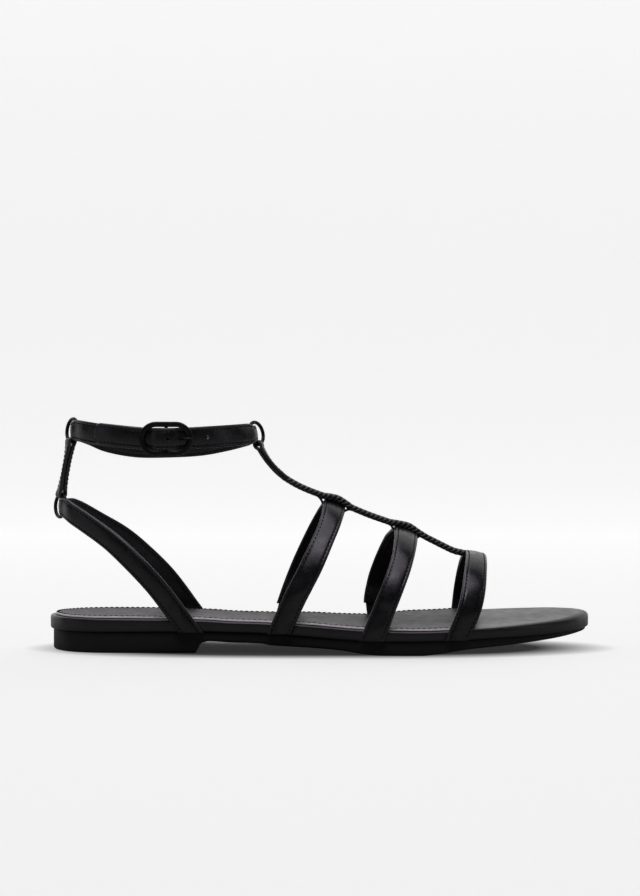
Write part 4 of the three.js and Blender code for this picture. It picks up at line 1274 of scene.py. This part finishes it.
def make_bar_loop():
    """The spine's top: one strip folded round the front ring, both layers running down into the plait."""
    wire = on_ring(RING_ANKLE_FRONT, 270)
    spine = catmull([tuple(wire)] + [(x, 0.0, z) for x, z in SPINE if x < PLAIT_START + 3.5], 120)
    tangent = tangents(spine)
    n = unit(plane_normals(tangent))
    run = run_of(spine)
    apart, layer = fold_gaps(BAR_LAYER, smooth(run, 0.4, 2.6))
    upper, lower = spine + n * apart[:, None], spine - n * apart[:, None]
    arc = bend_round(wire, -n[0], -tangent[0], 26)
    path = np.vstack([lower[::-1], arc, upper])
    along = np.concatenate([run[::-1], np.zeros(len(arc)), run])
    thick = np.concatenate([layer[::-1], np.full(len(arc), BEND_LAYER), layer])
    mesh, thread = Mesh(), Mesh()
    ribbon(mesh, path, bar_across(along), bar_width(along), thick)
    mesh.object("upper_bar_loop", STRAP_LEATHER, ["upper"])

    at = np.arange(3.2, run[-1] - 2.5, STITCH_PITCH)
    half = bar_width(at) / 2 - 1.0
    up, forwards = sample(at, run, n), unit(sample(at, run, tangent))
    middle = sample(at, run, upper) + up * (BAR_LAYER / 2 - STITCH_SINK)
    for s in (-1, 1):
        centre = middle + s * half[:, None] * unit(bar_across(at))
        put_stitches(thread, centre, forwards, unit(np.cross(up, forwards)), unit(up))
    thread.object("upper_bar_stitches", STRAP_THREAD)


def tab_across(share):
    """The back tab's width direction: the rings' own at its ends, nearly square to the foot halfway."""
    return blend(RING_HEEL["a"], -MEDIAL, 0.8 * np.sin(math.pi * share)[:, None])


def make_tab():
    """A closed band round both rear rings, its two layers stitched together between them."""
    low, high = on_ring(RING_HEEL, 90), on_ring(RING_ANKLE_BACK, 270)
    axis, length = unit(high - low), float(np.linalg.norm(high - low))
    side = unit(np.cross(RING_HEEL["a"], axis))
    share = np.linspace(0, 1, 60)
    up = share * length
    held = smooth(up, 0.5, 3.0) * (1 - smooth(up, length - 3.0, length - 0.5))
    apart, layer = fold_gaps(FOLD_LAYER, held)
    spine = low + (high - low) * share[:, None]
    front, rear = spine + side * apart[:, None], spine - side * apart[:, None]
    top, foot = bend_round(high, side, axis, 22), bend_round(low, -side, -axis, 22)
    path = np.vstack([front, top, rear[::-1], foot])
    ends = np.full(len(top), BEND_LAYER)
    thick = np.concatenate([layer, ends, layer[::-1], ends])
    mesh, thread = Mesh(), Mesh()
    across = tab_across(np.clip(((path - low) @ axis) / length, 0, 1))
    ribbon(mesh, path, across, TAB_WIDTH, thick, closed=True)
    mesh.object("back_tab_leather", STRAP_LEATHER, ["back_tab"])

    share = np.arange(3.4, length - 3.0, STITCH_PITCH) / length
    base = low + (high - low) * share[:, None]
    along = np.broadcast_to(axis, base.shape)
    across = square_to(unit(tab_across(share)), along)
    out = np.cross(along, across)
    surface = FOLD_LAYER + FOLD_GAP - STITCH_SINK
    for s in (-1, 1):
        for face in (-1, 1):
            centre = base + s * (TAB_WIDTH / 2 - 0.9) * across + face * surface * out
            put_stitches(thread, centre, along, across, out * face)
    thread.object("back_tab_stitches", STRAP_THREAD)


# ---- metal parts


LUG_RADIUS = 1.15
EYE_RADIUS = 1.45
EYE_WIRE = 0.55


def make_ring(node, ring):
    path = [on_ring(ring, a) for a in np.linspace(0, 360, 72, endpoint=False)]
    mesh = Mesh()
    mesh.add(*tube(path, WIRE, sides=16, closed=True, hint=ring["n"]))
    mesh.object(node + "_wire", METAL, [node], "black_metal")


def make_buckle_frame():
    """A long ring with half-round ends, and the centre bar held behind it by two lugs."""
    x, y, z, rail = (BUCKLE[k] for k in ("x", "y", "z", "rail"))
    half_length, half_height = (BUCKLE["length"] - rail) / 2, (BUCKLE["height"] - rail) / 2
    path = []
    for sign, start in ((1, -90), (-1, 90)):
        middle = x + sign * (half_length - half_height)
        for a in np.radians(np.linspace(start, start + 180, 40, endpoint=False)):
            path.append((middle + half_height * math.cos(a), y, z + half_height * math.sin(a)))
    path = even(path + path[:1], 161)[:-1]
    section = soft_box(rail, BUCKLE["depth"], 22, 2.7)
    out = np.cross(tangents(path, closed=True), MEDIAL)
    mesh = Mesh()
    rings = [set_across(section, p, o, MEDIAL) for p, o in zip(path, out)]
    mesh.add(*loft(rings, closed=True))
    rod = [(x, BAR_Y, z + up) for up in np.linspace(-half_height, half_height, 9)]
    mesh.add(*tube(rod, BAR_RADIUS, sides=16, hint=MEDIAL))
    for s in (-1, 1):
        lug = [(x, at, z + s * half_height) for at in np.linspace(y + 0.3, BAR_Y + 0.75, 5)]
        mesh.add(*tube(lug, LUG_RADIUS, sides=14, flat=0.7))
    mesh.object("buckle_frame_cast", METAL, ["buckle_frame"], "black_metal")


def make_buckle_pin():
    """The pin, thinner at its tip, and its eye round the bar."""
    pin = catmull([(x, y, BUCKLE["z"]) for x, y in PIN], 50)
    taper = PIN_RADIUS * (1 - 0.35 * smooth(np.linspace(0, 1, 50), 0.85, 1.0))
    eye = [
        (BUCKLE["x"] + EYE_RADIUS * math.cos(a), BAR_Y + EYE_RADIUS * math.sin(a), BUCKLE["z"])
        for a in np.linspace(0, 2 * math.pi, 28)[:-1]
    ]
    mesh = Mesh()
    mesh.add(*tube(pin, taper, sides=14))
    mesh.add(*tube(eye, EYE_WIRE, sides=12, closed=True))
    mesh.object("buckle_pin_tongue", METAL, ["buckle_pin"], "black_metal")


make_heel_strap()
make_ankle_strap()
make_bar_fold()
make_upper()
make_gore("gore_rear", REAR_STRAP, REAR_GORE_TOP)
make_gore("gore_middle", MIDDLE_STRAP, MIDDLE_GORE_TOP)
make_plait()
make_bar_loop()
make_tab()
make_ring("ring_heel", RING_HEEL)
make_ring("ring_ankle_back", RING_ANKLE_BACK)
make_ring("ring_ankle_front", RING_ANKLE_FRONT)
make_buckle_frame()
make_buckle_pin()


# ---- floor, light, camera


# The paper's glow as the camera sees it, and the share of it that other rays see near the object and at
# the backdrop. The share of the glow left in the painted shadow beneath the sole. The world's light as they
# see it, and as the camera does.
FLOOR_GLOW = 0.72
FLOOR_BOUNCE = 0.44
BACKDROP_BOUNCE = 0.85
SHADE = 0.04
WORLD_LIGHT = 0.04
WORLD_SEEN = 0.92
# half the sole's width and length in metres, and the station of its middle, for the painted shadow
# beneath it
SHADE_WIDTH, SHADE_LENGTH, SHADE_MIDDLE = 0.043, 0.127, 0.0925
FLOOR_HALF_WIDTH = 5.0
FLOOR_DROP = 0.0004
# the backdrop's sweep: where it starts, its radius, and the height where it ends
SWEEP_START, SWEEP_RADIUS, BACKDROP_TOP = 1.1, 0.9, 4.0
LAMP_TINT = (1.0, 0.94, 1.06)
# name, position, target, size, power in watts
LAMPS = [
    ("top_softbox", (0.0, -0.10, 1.1), (0.08, 0, 0.05), (1.4, 0.9), 8.6),
    ("front_softbox", (-0.1, -0.8, 1.2), (0.08, 0, 0.05), (0.9, 0.5), 3.6),
    ("left_softbox", (-1.2, -0.4, 0.5), (0.08, 0, 0.05), (0.3, 0.9), 0.4),
    ("right_softbox", (1.3, -0.3, 0.5), (0.1, 0, 0.05), (0.3, 0.9), 0.5),
]
CAMERA_PLACE = (0.0922, -0.850, 0.0926)
CAMERA_LENS = 73.22


def floor_paper():
    """Pale paper that glows evenly, with a painted shadow beneath the sole where its glow drops. It throws
    little light on the leather, and less near the sole: painted shade for the leather's reflections.
    """
    m = Nodes("floor_paper")
    split = m.put(m.new("SeparateXYZ"), m.where)
    x, y = split.outputs[0], split.outputs[1]
    across = m.math("POWER", m.math("DIVIDE", y, SHADE_WIDTH), 2.0)
    along = m.math("ABSOLUTE", m.math("DIVIDE", m.math("SUBTRACT", x, SHADE_MIDDLE), SHADE_LENGTH))
    radius = m.math("ADD", across, m.math("POWER", along, 2.6))
    # painted shadow: the glow drops to SHADE inside an ellipse round the sole
    outside_painted_shadow = m.remap(radius, 0.55, 1.25, SHADE, 1.0)
    backdrop = m.remap(y, 0.3, 0.8, FLOOR_BOUNCE, BACKDROP_BOUNCE)
    # painted shade for other rays: the floor they see is dimmer near the sole
    bounce = m.math("MULTIPLY", backdrop, m.remap(radius, 0.6, 9.0, 0.48))
    share = m.math("MAXIMUM", m.new("LightPath").outputs["Is Camera Ray"], bounce)
    colour = m.mix(share, grey(0.0), m.mix(m.noise(3, 2), grey(0.86), grey(0.87)))
    glow = m.math("MULTIPLY", m.math("MULTIPLY", outside_painted_shadow, share), FLOOR_GLOW)
    m.put(m.shader, Emission_Color=grey(1.0), Emission_Strength=glow)
    return m.finish(colour, 0.9, 0.0)


def make_stage():
    """A floor that sweeps up into a backdrop."""
    profile = [(-3.0, 0.0), (-0.6, 0.0), (0.5, 0.0), (0.9, 0.0)]
    for a in np.linspace(0, math.pi / 2, 24):
        profile.append((SWEEP_START + SWEEP_RADIUS * math.sin(a), SWEEP_RADIUS * (1 - math.cos(a))))
    back = SWEEP_START + SWEEP_RADIUS
    profile += [(back, 2.2), (back, BACKDROP_TOP)]
    verts = [(x, y, z - FLOOR_DROP) for y, z in profile for x in (-FLOOR_HALF_WIDTH, FLOOR_HALF_WIDTH)]
    faces = [(2 * k, 2 * k + 1, 2 * k + 3, 2 * k + 2) for k in range(len(profile) - 1)]
    mesh = bpy.data.meshes.new("floor")
    mesh.from_pydata(verts, [], faces)
    mesh.polygons.foreach_set("use_smooth", [True] * len(mesh.polygons))
    mesh.materials.append(floor_paper())
    floor = new_object("floor", mesh)


def make_world():
    """Bright where the camera sees it past the floor, dim as a light, so that black leather stays black."""
    world = bpy.data.worlds.new("studio")
    bpy.context.scene.world = world
    world.use_nodes = True
    tree = world.node_tree
    back = tree.nodes["Background"]
    back.inputs["Color"].default_value = (1, 1, 1, 1)
    seen = tree.nodes.new("ShaderNodeLightPath").outputs["Is Camera Ray"]
    ramp = tree.nodes.new("ShaderNodeMapRange")
    tree.links.new(seen, ramp.inputs["Value"])
    ramp.inputs["To Min"].default_value = WORLD_LIGHT
    ramp.inputs["To Max"].default_value = WORLD_SEEN
    tree.links.new(ramp.outputs[0], back.inputs["Strength"])


def area_light(name, place, target, size, power):
    data = bpy.data.lights.new(name, "AREA")
    data.shape = "RECTANGLE"
    data.size, data.size_y = size
    data.energy, data.color = power, LAMP_TINT
    lamp = new_object(name, data)
    lamp.location = place
    aim = np.subtract(target, place)
    yaw = math.atan2(aim[1], aim[0]) - math.pi / 2
    pitch = math.atan2(aim[2], math.hypot(aim[0], aim[1])) + math.pi / 2
    lamp.rotation_euler = (pitch, 0, yaw)
    return lamp


def make_lights():
    """Lamps that light the sandal and leave the floor to its own glow."""
    lit = bpy.data.collections.new("lit")
    for made in bpy.context.scene.objects:
        if made.type == "MESH" and made.name != "floor":
            lit.objects.link(made)
    for lamp in LAMPS:
        area_light(*lamp).light_linking.receiver_collection = lit


def make_camera():
    data = bpy.data.cameras.new("camera")
    data.lens, data.sensor_width = CAMERA_LENS, 36.0
    data.clip_start, data.clip_end = 0.01, 50
    eye = new_object("camera", data)
    eye.location = CAMERA_PLACE
    eye.rotation_euler = (math.radians(90), 0, 0)
    bpy.context.scene.camera = eye


bpy.context.scene.view_settings.view_transform = "Standard"
make_stage()
make_world()
make_lights()
make_camera()
